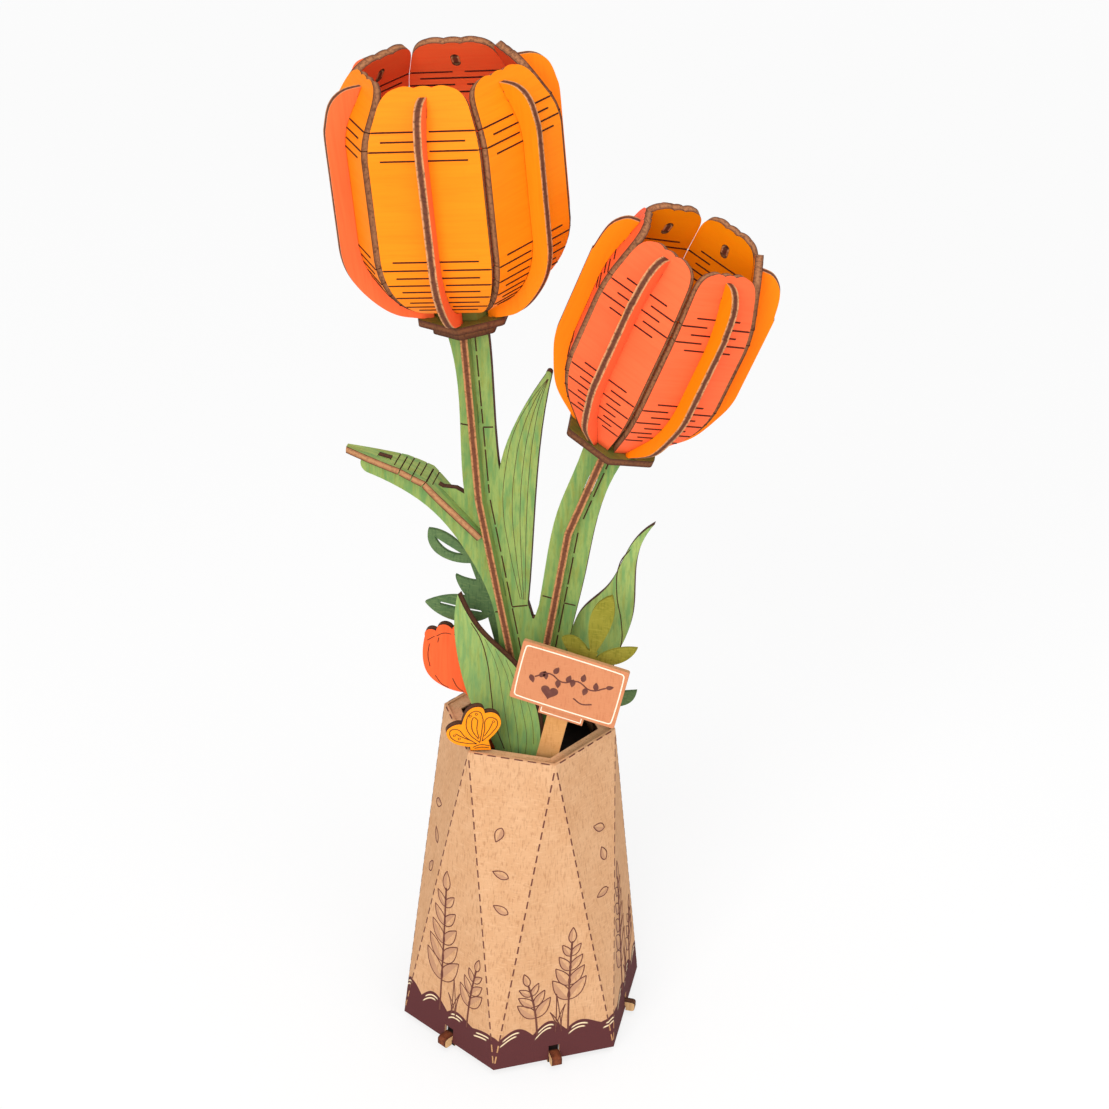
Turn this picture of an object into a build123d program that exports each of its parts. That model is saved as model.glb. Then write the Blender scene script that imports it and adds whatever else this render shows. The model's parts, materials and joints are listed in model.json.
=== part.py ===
"""Two laser-cut wooden tulips with leaves in a folded card vase, in millimetres.

Origin: middle of the base, on the surface the feet stand on. X runs along the front edge of the
rim, Y points away from the viewer, Z points up.
"""
from build123d import *
import os
from dataclasses import dataclass
from math import asin, atan2, cos, degrees, hypot, radians, sin, tan

# Sheet stock and fits
PLY = 2.0           # plywood sheet
BASE_PLY = 3.0      # thicker plywood of the two base boards
CARD = 0.8          # folded kraft card
THIN = 1.0          # pressed card of the sprigs
SIGN_CARD = 1.2     # card of the sign
FIT = 0.1           # clearance on each side of a glued slot
SLIDE = 0.25        # clearance on each side of the sign's loose slot
KERF = 0.3          # width of a hinge cut

# Vase: a hexagonal sleeve twisted by 30 degrees from base to rim
BASE_R = 35.0       # base corner radius
RIM_R = 23.5        # rim corner radius
VASE_H = 95.0       # sleeve height
LIP = 4.6           # width of the folded lip, in corner radius
LIP_DROP = 0.4      # how far the lip slopes down
FOOT_DROP = 2.0     # feet stand this far below the sleeve

# Base frame: three boards that cross on the axis and hook through the sleeve
BASE_H = 24.0       # height of the crossing boards
PEG_LOW = 0.9       # underside of a peg's neck above the sleeve's lower edge
PEG_H = 1.4         # height of a peg's neck
PEG_DROP = 0.7      # how far a peg hooks down past the sleeve's lower edge
PEG_OUT = 2.7       # how far a peg stands out of the sleeve
PEG_WINDOW = 2.3    # open height of the slot above a peg
PEG_ROUND = 0.9     # rounding of a peg's outer corners

# Soil plate, that holds everything planted in the vase
SOIL_DEPTH = 13.0   # top of the plate below the rim
SOIL_GAP = 0.6      # gap between the plate and the sleeve
FOOT_PAST = 1.5     # how far planted feet reach below the plate
SHOULDER = 12.8     # half width of the stem board under the plate
TRUNK_LEFT = -8.5   # stem board's edges where it passes the plate
TRUNK_RIGHT = 7.0
BRANCH_LEFT = 17.0  # heights over the rim where the trunk's edges start to branch
BRANCH_RIGHT = 11.0

# Stems
SPINE_DEPTH = 3.2   # how far the stem spines stand off the board
SPINE_LOW = 13.0    # lower end of the spines over the rim
SPINE_TAB = 5.0     # length of a spine's tab
TENON_HALF = 3.3    # half width of the stem tenons

# Left leaf: its bent line in X and height over the rim, and half widths along X
BLADE_BENDS = [(-13.6, 54.5), (-28.1, 69.3), (-31.6, 70.6), (-34.7, 71.7), (-49.6, 74.4)]
BLADE_HALF = [(-49.6, 0.7), (-44.0, 2.1), (-38.0, 3.3), (-31.6, 4.2), (-25.0, 4.3), (-19.0, 3.5), (-12.0, 2.5)]
BLADE_CUTS = 7
BLADE_FIRST = 13.5  # first hinge cut from the leaf's tip
BLADE_PITCH = 1.75
BLADE_BRIDGE = 1.4  # width left uncut at one end of a hinge cut
KEEL_SHORT = 5.1    # the keel ends this far from the leaf's tip
KEEL_TAB = 3.4      # length of the tab that holds the leaf on the keel
KEEL_TAB_AT = 10.2  # tab's middle from the leaf's tip

# Tulip heads
SIDES = 6
HALF_SIDE = tan(radians(30))
PETAL_GAP = 0.04    # half gap between neighbouring petals' inner corners
RIB_TAB = 1.8       # length of the tab at a rib's top
RIB_TAB_AT = 4.3    # tab's middle above the uppermost hinge cut
RIB_FOOT = 1.4      # length of a rib's slot in the calyx
BRIDGE = 2.6        # half width left uncut by a hinge cut that reaches the edges
SHORT_CUT = 0.66    # share of the width that an inner hinge cut takes
SCALLOP = 0.45      # depth of the waves along a petal's top
TOP_SHARE = 0.52    # width of the wavy top as a share of the petal's width
SHOULDER_AT = 0.55  # where the top's rounding starts, as a share of its length
CALYX_ROUND = 1.6   # rounding of the calyx corners
COLLAR_SHARE = 0.72  # collar's size as a share of the calyx
SEAT_R = 8.6        # corner radius of the plate under the petal tips
LOCK_R = 5.8        # corner radius of the lock plate on the tenon

# Sign
SIGN_W = 28.4
SIGN_H = 18.2
SIGN_LEAN = 11.0    # lean of the sign to the right, degrees
SIGN_X = 8.35       # stake's axis at the height of the rim
SIGN_LOW = 13.9     # sign's lower edge along the stake, from the rim
SIGN_SIDE = 0.8     # sign's middle beside the stake's axis
BAR_W = 12.0
BAR_BELOW = 3.0     # how far the crossbar shows under the sign
BAR_BEHIND = 2.5    # how far it reaches behind the sign
STAKE_W = 5.6
STAKE_BEHIND = 9.0  # how far the stake reaches behind the sign
TONGUE_W = 3.4      # narrow end of the stake, that goes through the soil plate
TONGUE_PAST = 5.0   # how far it reaches below the plate
LIP_GAP = 3.2       # gap between the lip's front edge and the stake

# Planted pieces: Y of the sheet's middle
RIGHT_LEAF_Y = 5.6
BUD_Y = 2.2
LEFT_SPRIG_Y = 5.0
OLIVE_SPRIG_Y = -8.5
RIGHT_SPRIG_Y = 3.0

# Feet of the planted pieces: X of the middle, and width
FRONT_FOOT = (5.5, 6.0)
RIGHT_FOOT = (4.3, 3.0)
BUD_FOOT = (-10.5, 3.0)
LEFT_SPRIG_FOOT = (-7.0, 2.6)
OLIVE_FOOT = (6.6, 2.6)
RIGHT_SPRIG_FOOT = (5.4, 2.4)

# Front leaf, that stands askew between the left spine and the stake
FRONT_LEAF_X = -6.6
LEAF_SPINE_GAP = 2.4    # gap between the spine and the leaf's middle
LEAF_STAKE_GAP = 1.35   # gap between the stake and the leaf's middle at its right edge
LEAF_REACH = 13.0       # from the leaf's middle to its right edge

# Butterfly on the lip: X, Y and the turn about Z
BUTTERFLY_AT = (-12.6, -18.8, 20.0)

COS30 = cos(radians(30))
GROUND = -SOIL_DEPTH
SOIL_TOP = VASE_H - SOIL_DEPTH
SOIL_LOW = SOIL_TOP - PLY
MOUTH = (RIM_R - LIP) * COS30
STAKE_Y = -(MOUTH - LIP_GAP - SIGN_CARD / 2)
FRONT_LEAF_Y = -(PLY / 2 + SPINE_DEPTH + LEAF_SPINE_GAP)
LEAF_FORWARD = FRONT_LEAF_Y - STAKE_Y - SIGN_CARD / 2 - LEAF_STAKE_GAP
FRONT_LEAF_TURN = -degrees(asin(LEAF_FORWARD / LEAF_REACH))


@dataclass
class Tulip:
    """One flower head. Heights t run along its axis from the second hinge cut of the lower bend."""
    name: str
    x: float            # place of t = 0
    over_rim: float
    tilt: float         # lean to the right, degrees
    phase: float        # direction of the first petal, degrees
    body: float         # distance from the axis to the petals' straight middle
    high: float         # lowest hinge cut of the upper bend
    up_cuts: int
    up_pitch: float
    up_bend: float
    top_length: float   # from the uppermost hinge cut to the petal's top
    low: float          # highest hinge cut of the lower bend
    low_cuts: int
    low_pitch: float
    low_bend: float
    open_cuts: int      # how many of the lower cuts go through
    foot_length: float
    first_long: int     # 0 where the uppermost cut reaches the edges, 1 where the next one does
    rib_depth: float
    rib_top: float      # how far a rib ends under the petal's top
    crown: list         # points of a rib's outer edge above and below its straight middle
    hem: list
    heel: float         # where a rib's outer edge lands on the calyx
    calyx_r: float
    calyx_turn: float   # from the first petal to a corner of the calyx, degrees
    notch: float        # inner end of the ribs' slots in the calyx
    collar: float       # thickness of the collar under the calyx
    seated: bool        # petal tips lie on a seat plate
    stem_half: float    # half width of the stem under the calyx

    @property
    def place(self):
        return Pos(self.x, 0, VASE_H + self.over_rim) * Rot(0, self.tilt, 0)

    def outer(self):
        """Corners of the petal's outer face, (distance from axis, t), from the top to the tip."""
        up_step = self.up_bend / self.up_cuts
        points = [(self.body, self.high)]
        for cut in range(1, self.up_cuts):
            turn = radians(cut * up_step)
            a, t = points[-1]
            points.append((a - self.up_pitch * sin(turn), t + self.up_pitch * cos(turn)))
        turn = radians(self.up_bend)
        a, t = points[-1]
        points.append((a - self.top_length * sin(turn), t + self.top_length * cos(turn)))
        points.reverse()
        low_step = self.low_bend / self.low_cuts
        points.append((self.body, self.low))
        for cut in range(1, self.low_cuts):
            turn = radians(cut * low_step)
            a, t = points[-1]
            points.append((a - self.low_pitch * sin(turn), t - self.low_pitch * cos(turn)))
        turn = radians(self.low_bend)
        a, t = points[-1]
        points.append((a - self.foot_length * sin(turn), t - self.foot_length * cos(turn)))
        return points

    def calyx_top(self):
        tip = self.outer()[-1][1] - FIT
        return tip - PLY if self.seated else tip

    def stem_top(self):
        return self.calyx_top() - PLY - self.collar - FIT

    def tenon_top(self):
        return self.lock_low() + PLY + FIT

    def lock_low(self):
        """Underside of the lock plate: on the petal tips, or on the calyx."""
        if not self.seated:
            return self.calyx_top() + FIT
        rise = tan(radians(90 - self.low_bend))
        tip_a, tip_t = self.outer()[-1]
        return tip_t + PLY / sin(radians(self.low_bend)) + (LOCK_R - tip_a) * rise + FIT

    def board_point(self, across, t):
        """A point of the stem board, in X and Z, from places across and along the flower's axis."""
        turn = radians(self.tilt)
        return (self.x + across * cos(turn) + t * sin(turn),
                VASE_H + self.over_rim - across * sin(turn) + t * cos(turn))


LEFT = Tulip("left", x=-21.0, over_rim=138.0, tilt=-6.5, phase=-86.2, body=24.7, high=26.8, up_cuts=4,
             up_pitch=2.2, up_bend=30.0, top_length=10.4, low=2.1, low_cuts=12, low_pitch=2.19,
             low_bend=70.0, open_cuts=9, foot_length=5.0, first_long=0, rib_depth=4.5,
             rib_top=2.6, crown=[(23.8, 39.5), (27.0, 37.0), (28.6, 32.6)], hem=[(24.2, -11.5), (17.0, -18.1)],
             heel=11.0, calyx_r=12.4, calyx_turn=0.0, notch=8.2, collar=2.8, seated=True, stem_half=5.4)
RIGHT = Tulip("right", x=26.6, over_rim=108.0, tilt=19.9, phase=-113.1, body=19.3, high=18.1, up_cuts=5,
              up_pitch=2.1, up_bend=16.0, top_length=11.0, low=2.1, low_cuts=8, low_pitch=2.1,
              low_bend=35.0, open_cuts=8, foot_length=10.4, first_long=1, rib_depth=4.2,
              rib_top=1.8, crown=[(18.3, 35.1), (20.8, 33.2), (22.4, 29.8), (23.3, 24.4)],
              hem=[(21.4, -6.6), (18.0, -13.6)], heel=10.9,
              calyx_r=13.1, calyx_turn=30.0, notch=9.2, collar=0.0, seated=False, stem_half=5.9)

pieces = {}


# Shared helpers
def sheet(sketch, thickness):
    """A flat sheet drawn in X and Z, standing across Y = 0."""
    return extrude(Plane.XZ * sketch, thickness / 2, both=True)


def face_of(*edges):
    return make_face(Curve() + list(edges))


def offset_path(points, distance):
    """The path moved to its right hand side, seen along the path."""
    moved = []
    for i, (a, t) in enumerate(points):
        turns = []
        for start, end in ((i - 1, i), (i, i + 1)):
            if 0 <= start and end < len(points):
                turns.append(atan2(points[end][1] - points[start][1], points[end][0] - points[start][0]))
        middle = sum(turns) / len(turns)
        reach = distance / cos(turns[-1] - middle)
        moved.append((a + reach * sin(middle), t - reach * cos(middle)))
    return moved


def along(points, place):
    """The point at a length along a path of straight runs."""
    for (a0, t0), (a1, t1) in zip(points, points[1:]):
        run = hypot(a1 - a0, t1 - t0)
        if place <= run:
            return (a0 + (a1 - a0) * place / run, t0 + (t1 - t0) * place / run)
        place -= run
    return points[-1]


def crossing(points, a):
    """The lowest point of a path at the distance a from the axis."""
    for (a0, t0), (a1, t1) in list(zip(points, points[1:]))[::-1]:
        if min(a0, a1) <= a <= max(a0, a1):
            return (a, t0 + (t1 - t0) * (a - a0) / (a1 - a0))
    return points[-1]


def band(points, width):
    """A strip of the given width along a path."""
    return make_face(Polyline(offset_path(points, width / 2) + offset_path(points, -width / 2)[::-1],
                              close=True))


def hexagon(corner_r, turn=0.0):
    return Rot(0, 0, turn) * RegularPolygon(corner_r, SIDES)


def slot_bar(start, end, width, length):
    """A rectangle centred on a run from start to end, and turned along it."""
    middle = ((start[0] + end[0]) / 2, (start[1] + end[1]) / 2)
    turn = degrees(atan2(end[1] - start[1], end[0] - start[0]))
    return Pos(*middle) * Rot(0, 0, turn) * Rectangle(length, width)


def over_rim(*points):
    return [(x, VASE_H + h) for x, h in points]


# Vase sleeve
def antiprism(base_r, rim_r, low, high):
    """A solid between a base hexagon and a rim hexagon turned by half a side."""
    base = [Vector(base_r * cos(radians(60 * k + 30)), base_r * sin(radians(60 * k + 30)), low)
            for k in range(SIDES)]
    rim = [Vector(rim_r * cos(radians(60 * k)), rim_r * sin(radians(60 * k)), high) for k in range(SIDES)]
    faces = [Face(Wire.make_polygon(base)), Face(Wire.make_polygon(rim))]
    for k in range(SIDES):
        faces.append(Face(Wire.make_polygon([base[k - 1], base[k], rim[k]])))
        faces.append(Face(Wire.make_polygon([rim[k], rim[(k + 1) % SIDES], base[k]])))
    return Solid(Shell(faces))


def funnel(drop):
    """The open space over the sloping lip, lowered by drop."""
    top = Plane.XY.offset(VASE_H - drop) * hexagon(RIM_R)
    bottom = Plane.XY.offset(VASE_H - LIP_DROP - drop) * hexagon(RIM_R - LIP)
    return loft(Sketch() + [top, bottom])


def wall_at(z):
    """Distance from the axis to the sleeve's outside in line with a peg."""
    foot = BASE_R * COS30
    return foot + (RIM_R - foot) * z / VASE_H


def vase_sleeve():
    inset = CARD / COS30
    outside = antiprism(BASE_R, RIM_R, 0, VASE_H)
    inside = antiprism(BASE_R - inset, RIM_R - inset, 0, VASE_H)
    mouth = Pos(0, 0, VASE_H) * extrude(hexagon(RIM_R - LIP), -2 * (LIP_DROP + CARD))
    lip = (funnel(CARD) - funnel(0) - mouth) & outside
    shell = outside - inside + lip
    open_h = PEG_H + FIT + PEG_WINDOW
    for k, stock in enumerate((PLY, BASE_PLY, BASE_PLY)):
        window = Box(2 * BASE_R, stock + 2 * FIT, open_h)
        shell -= Rot(0, 0, 60 * k) * Pos(0, 0, PEG_LOW - FIT + open_h / 2) * window
    return shell


def rim_block():
    """The sleeve's outside filled up to the lip, to seat what stands on it."""
    return antiprism(BASE_R, RIM_R, 0, VASE_H) - funnel(0)


# Base frame
def hook_bar():
    """A base board's outline: a bar inside the sleeve, with a peg that hooks out at each end."""
    room = CARD / COS30 + 2 * FIT
    half = []
    for side in (1, -1):
        bar = Polygon([(0, -FOOT_DROP), (side * (wall_at(-FOOT_DROP) - room), -FOOT_DROP),
                       (side * (wall_at(BASE_H) - room), BASE_H), (0, BASE_H)], align=None)
        tip = wall_at(0) + PEG_OUT
        inner = wall_at(0) + FIT
        peg = Polygon([(0, PEG_LOW), (inner, PEG_LOW), (inner, -PEG_DROP), (tip, -PEG_DROP),
                       (tip, PEG_LOW + PEG_H), (0, PEG_LOW + PEG_H)], align=None)
        peg = fillet(peg.vertices().filter_by(lambda v: v.X > tip - FIT), PEG_ROUND)
        half += [bar, peg if side > 0 else mirror(peg, Plane.YZ)]
    return Sketch() + half


def cross_slot(low, high, stock):
    """The slot, in a board of this stock, that lets the other boards cross it on the axis."""
    half = BASE_PLY / 2 / sin(radians(60)) + stock / 2 / tan(radians(60)) + FIT
    return Pos(0, (low + high) / 2) * Rectangle(2 * half, high - low)


def base_frames():
    third = (BASE_H + FOOT_DROP) / 3
    first = -FOOT_DROP + third
    second = first + third
    lower = hook_bar() - cross_slot(first, BASE_H + FIT, BASE_PLY)
    upper = hook_bar() - cross_slot(-FOOT_DROP - FIT, first + FIT, BASE_PLY)
    upper -= cross_slot(second, BASE_H + FIT, BASE_PLY)
    return second + FIT, Rot(0, 0, 60) * sheet(lower, BASE_PLY), Rot(0, 0, -60) * sheet(upper, BASE_PLY)


# Stems
BLADE_LINE = over_rim(*BLADE_BENDS)
KEEL_END = along(BLADE_LINE[::-1], KEEL_SHORT)
LEFT_SPINE = [LEFT.board_point(0, LEFT.stem_top() - 2 * FIT), *over_rim((-13.7, 66.4), (-2.9, SPINE_LOW))]
RIGHT_SPINE = [RIGHT.board_point(0, RIGHT.stem_top() - 2 * FIT), *over_rim((9.7, 60.2), (3.2, SPINE_LOW))]


def tenon(tulip):
    """Corners of a stem's top, from left to right, with the tenon that carries the flower."""
    low, high = tulip.stem_top(), tulip.tenon_top()
    places = [(-tulip.stem_half, low), (-TENON_HALF, low), (-TENON_HALF, high),
              (TENON_HALF, high), (TENON_HALF, low), (tulip.stem_half, low)]
    return [tulip.board_point(*place) for place in places]


def spine_slots(path):
    slots = []
    for start, end in zip(path, path[1:]):
        slots.append(slot_bar(start, end, PLY + 2 * FIT, SPINE_TAB + 2 * FIT))
    return slots


def stem_board(web_low):
    left_top = tenon(LEFT)
    right_top = tenon(RIGHT)
    branch = over_rim((TRUNK_LEFT, BRANCH_LEFT), (-8.9, 27.0), (-10.9, 35.6), (-16.8, 47.8), (-27.8, 60.9),
                      (-36.3, 65.9), (-43.6, 68.6))
    keel_round = over_rim((-45.6, 70.6))[0]
    upper = over_rim((-23.9, 67.2), (-20.5, 67.3), (-18.2, 66.2))
    left_edge = over_rim((-18.2, 66.2), (-19.2, 79.0), (-19.7, 91.0)) + left_top[:1]
    right_edge = left_top[-1:] + over_rim((-11.7, 103.4), (-10.6, 87.5), (-9.2, 74.3))
    leaf_left = over_rim((-9.2, 74.3), (-6.4, 85.5), (-0.3, 98.6), (2.1, 102.8))
    leaf_tip = over_rim((2.1, 102.8), (3.3, 103.6), (3.6, 102.9))
    leaf_right = over_rim((3.6, 102.9), (2.4, 95.7), (0.6, 76.7), (-0.2, 55.8), (-1.0, 36.0))
    crotch = over_rim((0.25, 32.0), (0.6, 31.6), (0.95, 32.0))
    inner = over_rim((2.0, 36.0), (3.6, 49.6), (6.2, 65.0), (9.7, 75.8)) + right_top[:1]
    outer = right_top[-1:] + over_rim((19.7, 75.5), (16.2, 63.0), (13.7, 46.3), (11.0, 31.0), (9.6, 23.0),
                                      (TRUNK_RIGHT, BRANCH_RIGHT))
    top = face_of(
        Polyline((0, 0), (-SHOULDER, 0), (-SHOULDER, SOIL_LOW), (TRUNK_LEFT, SOIL_LOW), branch[0]),
        Spline(branch), ThreePointArc(branch[-1], keel_round, KEEL_END),
        Polyline(KEEL_END, *BLADE_LINE[3:0:-1], *upper),
        Spline(left_edge), Polyline(left_top), Spline(right_edge),
        Spline(leaf_left), ThreePointArc(*leaf_tip), Spline(leaf_right),
        Line(leaf_right[-1], crotch[0]), ThreePointArc(*crotch), Line(crotch[-1], inner[0]),
        Spline(inner), Polyline(right_top), Spline(outer),
        Polyline(outer[-1], (TRUNK_RIGHT, SOIL_LOW), (SHOULDER, SOIL_LOW), (SHOULDER, 0), (0, 0)))
    board = top + hook_bar() - cross_slot(-FOOT_DROP - FIT, web_low, PLY)
    board -= band(BLADE_LINE, PLY + 2 * FIT)
    board += slot_bar(*keel_tab(), PLY + 4 * FIT, KEEL_TAB)
    for slot in spine_slots(LEFT_SPINE) + spine_slots(RIGHT_SPINE):
        board -= slot
    return sheet(board, PLY)


def keel_tab():
    """The run of the leaf line that the keel's tab fills."""
    back = BLADE_LINE[::-1]
    return along(back, KEEL_TAB_AT - KEEL_TAB / 2), along(back, KEEL_TAB_AT + KEEL_TAB / 2)


def spine(path, side):
    """A strip along a stem, on the front (side -1) or the back (side 1) of the board."""
    strip = extrude(Plane.XZ * band(path, PLY), -side * SPINE_DEPTH)
    part = Pos(0, side * PLY / 2, 0) * strip
    for start, end in zip(path, path[1:]):
        tab = extrude(Plane.XZ * slot_bar(start, end, PLY, SPINE_TAB), -side * (PLY / 2 - FIT / 2))
        part += Pos(0, side * FIT / 2, 0) * tab
    return part


def leaf_blade():
    """The left leaf, bent over the stem board's keel by hinge cuts from either side in turn."""
    widest = max(half for x, half in BLADE_HALF)
    strip = extrude(Plane.XZ * band(BLADE_LINE, PLY), 2 * widest, both=True)
    edge = [(x, -half) for x, half in BLADE_HALF]
    back = [(x, half) for x, half in BLADE_HALF[::-1]]
    plan = face_of(Spline(edge), Line(edge[-1], back[0]), Spline(back), Line(back[-1], edge[0]))
    blade = strip & extrude(plan, 3 * VASE_H)
    blade -= sheet(slot_bar(*keel_tab(), 2 * PLY, KEEL_TAB + 2 * FIT), PLY + 2 * FIT)
    path = BLADE_LINE[::-1]
    cuts = []
    for cut in range(BLADE_CUTS):
        place = BLADE_FIRST + cut * BLADE_PITCH
        before, after = along(path, place - KERF), along(path, place + KERF)
        line = extrude(Plane.XZ * slot_bar(before, after, 3 * PLY, KERF), widest, both=True)
        side = -1 if cut % 2 else 1
        cuts.append(Pos(0, side * BLADE_BRIDGE, 0) * line)
    return blade - cuts


# Tulip heads
def petal(tulip):
    """One petal, in the direction of X: flat facets between its hinge cuts."""
    path = tulip.outer()
    last = len(path) - 1
    facets = []
    cuts = []

    def half_width(i, run):
        a0, t0 = path[run]
        a1, t1 = path[run + 1]
        steep = abs(t0 - t1) / hypot(a0 - a1, t0 - t1)
        return (path[i][0] - PLY * steep) * HALF_SIDE - PETAL_GAP

    for run in range(last):
        (a0, t0), (a1, t1) = path[run], path[run + 1]
        length = hypot(a1 - a0, t1 - t0)
        da, dt = (a1 - a0) / length, (t1 - t0) / length
        plane = Plane(origin=(a0, 0, t0), x_dir=(0, 1, 0), z_dir=(dt, 0, -da))
        start, end = half_width(run, run), half_width(run + 1, run)
        if run == 0:
            outline = petal_top(start, end, length)
            outline -= Pos(0, length - RIB_TAB_AT) * SlotOverall(RIB_TAB + PLY + 2 * FIT, PLY + 2 * FIT, 90)
        else:
            outline = Polygon([(-start, 0), (start, 0), (end, length), (-end, length)], align=None)
        facets.append(extrude(plane * outline, PLY))
    solid = Part() + facets
    for cut in range(1, last):
        upper = cut <= tulip.up_cuts
        if not upper and cut - tulip.up_cuts > tulip.open_cuts:
            continue
        count = cut - 1 + tulip.first_long if upper else cut - tulip.up_cuts
        a, t = path[cut]
        before = atan2(path[cut][1] - path[cut - 1][1], path[cut][0] - path[cut - 1][0])
        after = atan2(path[cut + 1][1] - path[cut][1], path[cut + 1][0] - path[cut][0])
        middle = (before + after) / 2
        plane = Plane(origin=(a, 0, t), x_dir=(0, 1, 0), z_dir=(sin(middle), 0, -cos(middle)))
        half = half_width(cut, cut)
        if count % 2 == 0:
            for side in (-1, 1):
                cuts.append(plane * Pos(side * (BRIDGE + half), 0, 0) * Box(2 * half, KERF, 4 * PLY))
        else:
            cuts.append(plane * Box(2 * half * SHORT_CUT, KERF, 4 * PLY))
    return solid - cuts


def petal_top(start, end, length):
    """The rounded, wavy top facet, drawn from its top edge (0) down to the first hinge cut."""
    flat = end * TOP_SHARE
    shoulder = length * SHOULDER_AT
    edge = start + (end - start) * SHOULDER_AT
    third = 2 * flat / 3
    tops = [-flat + third * k for k in range(4)]
    waves = []
    for k in range(3):
        waves.append(ThreePointArc((tops[k], SCALLOP), (tops[k] + third / 2, 0), (tops[k + 1], SCALLOP)))
    lean = (end - start) / length
    left = Spline([(-edge, shoulder), (-flat, SCALLOP)], tangents=[(lean, -1), (1, -0.25)])
    right = Spline([(flat, SCALLOP), (edge, shoulder)], tangents=[(1, 0.25), (lean, 1)])
    return face_of(left, *waves, right,
                   Polyline((edge, shoulder), (end, length), (-end, length), (-edge, shoulder)))


def rib(tulip):
    """A crescent that stands on a petal's middle, with a tab through the petal and a foot in the calyx."""
    path = tulip.outer()
    inner = offset_path(path, -FIT)
    start = offset_path([along(path, tulip.rib_top), path[1]], -FIT)[0]
    high, low = (tulip.body + tulip.rib_depth, tulip.high), (tulip.body + tulip.rib_depth, tulip.low)
    foot_a = tulip.notch + FIT
    toe_a = tulip.notch + RIB_FOOT - FIT
    floor, toe = tulip.calyx_top() + FIT, tulip.calyx_top() - PLY + FIT
    heel = (tulip.heel, floor)
    landing = (heel[0] - tulip.hem[-1][0], heel[1] - tulip.hem[-1][1])
    inside = [(a, t) for a, t in inner[1:] if a > foot_a]
    outline = face_of(Spline([start] + tulip.crown + [high], tangents=[(1, 0), (0, -1)]), Line(high, low),
                      Spline([low] + tulip.hem + [heel], tangents=[(0, -1), landing]),
                      Polyline([heel, (toe_a, floor), (toe_a, toe), (foot_a, toe), crossing(inner, foot_a)]
                               + inside[::-1] + [start]))
    tab_at = along(path, tulip.top_length - RIB_TAB_AT)
    tab = Pos(*tab_at) * Rot(0, 0, tulip.up_bend) * Rectangle(4 * PLY, RIB_TAB)
    return sheet(outline + (tab & strip_side(path)), PLY)


def strip_side(path):
    """The side view of a petal's sheet with the gap in front of it, that a rib's tab may fill."""
    return make_face(Polyline(offset_path(path, -2 * FIT) + offset_path(path, PLY)[::-1], close=True))


def calyx_plate(tulip, corner_r, top, thickness, notched):
    outline = hexagon(corner_r, tulip.phase + tulip.calyx_turn)
    plate = extrude(fillet(outline.vertices(), CALYX_ROUND), -thickness)
    plate -= Box(2 * (TENON_HALF + FIT), PLY + 2 * FIT, 4 * PLY)
    if notched:
        slot = Pos(tulip.notch + RIB_FOOT / 2, 0, 0) * Box(RIB_FOOT, PLY + 2 * FIT, 4 * PLY)
        plate -= [Rot(0, 0, tulip.phase + 60 * k) * slot for k in range(SIDES)]
    return Pos(0, 0, top) * plate


def tulip_head(tulip):
    one_petal = petal(tulip)
    if not tulip.seated:
        ground = Pos(0, 0, tulip.calyx_top() + FIT - VASE_H) * Box(4 * BASE_R, 4 * BASE_R, 2 * VASE_H)
        one_petal -= ground
    one_rib = rib(tulip)
    head = {}
    for k in range(SIDES):
        turn = Rot(0, 0, tulip.phase + 60 * k)
        head[f"petal_{k + 1}"] = turn * one_petal
        head[f"rib_{k + 1}"] = turn * one_rib
    top = tulip.calyx_top()
    head["calyx"] = calyx_plate(tulip, tulip.calyx_r, top, PLY, True)
    if tulip.collar:
        head["calyx_collar"] = calyx_plate(tulip, tulip.calyx_r * COLLAR_SHARE, top - PLY, tulip.collar, False)
    if tulip.seated:
        head["petal_seat"] = seat_plate(tulip, top + PLY)
    head["head_lock"] = Pos(0, 0, tulip.lock_low()) * lock_plate()
    for name, part in head.items():
        pieces[f"{tulip.name}_{name}"] = tulip.place * part


def seat_plate(tulip, top):
    plate = extrude(hexagon(SEAT_R, tulip.phase + 30), -PLY)
    return Pos(0, 0, top) * (plate - Box(2 * (TENON_HALF + FIT), PLY + 2 * FIT, 4 * PLY))


def lock_plate():
    plate = extrude(hexagon(LOCK_R), PLY)
    return plate - Box(2 * (TENON_HALF + FIT), PLY + 2 * FIT, 4 * PLY)


# Planted pieces
def foot(middle, width):
    """A tab that goes through the soil plate."""
    height = PLY + FOOT_PAST
    return Pos(middle, SOIL_TOP - height / 2) * Rectangle(width, height)


def leaf(left, right, foot_middle, foot_width):
    """A leaf with curved sides from its base to its tip."""
    sides = [Spline(over_rim(*left)), Spline(over_rim(*right))]
    base = Line(over_rim(right[-1])[0], over_rim(left[0])[0])
    return face_of(*sides, base) + foot(foot_middle, foot_width)


def pointed(tip, upper, base, lower):
    """A small leaf between its tip and its base."""
    rim_points = over_rim(tip, *upper, base), over_rim(base, *lower, tip)
    return face_of(Spline(rim_points[0]), Spline(rim_points[1]))


def stalk_to(planted, *points):
    """A stalk along the points and then straight down into its foot."""
    middle, width = planted
    return band(over_rim(*points, (middle, GROUND + width), (middle, GROUND - FIT)), width)


def front_place():
    return Pos(FRONT_LEAF_X, FRONT_LEAF_Y, 0) * Rot(0, 0, FRONT_LEAF_TURN)


def front_leaf():
    left = [(1.5, GROUND), (-1.3, -5.8), (-8.0, 4.1), (-11.7, 13.7), (-13.9, 27.9), (-12.9, 37.5)]
    right = [(-12.9, 37.5), (-10.1, 32.7), (-6.5, 28.6), (5.3, 21.0), (LEAF_REACH, 4.6), (9.5, GROUND)]
    return front_place() * sheet(leaf(left, right, *FRONT_FOOT), PLY)


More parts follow.
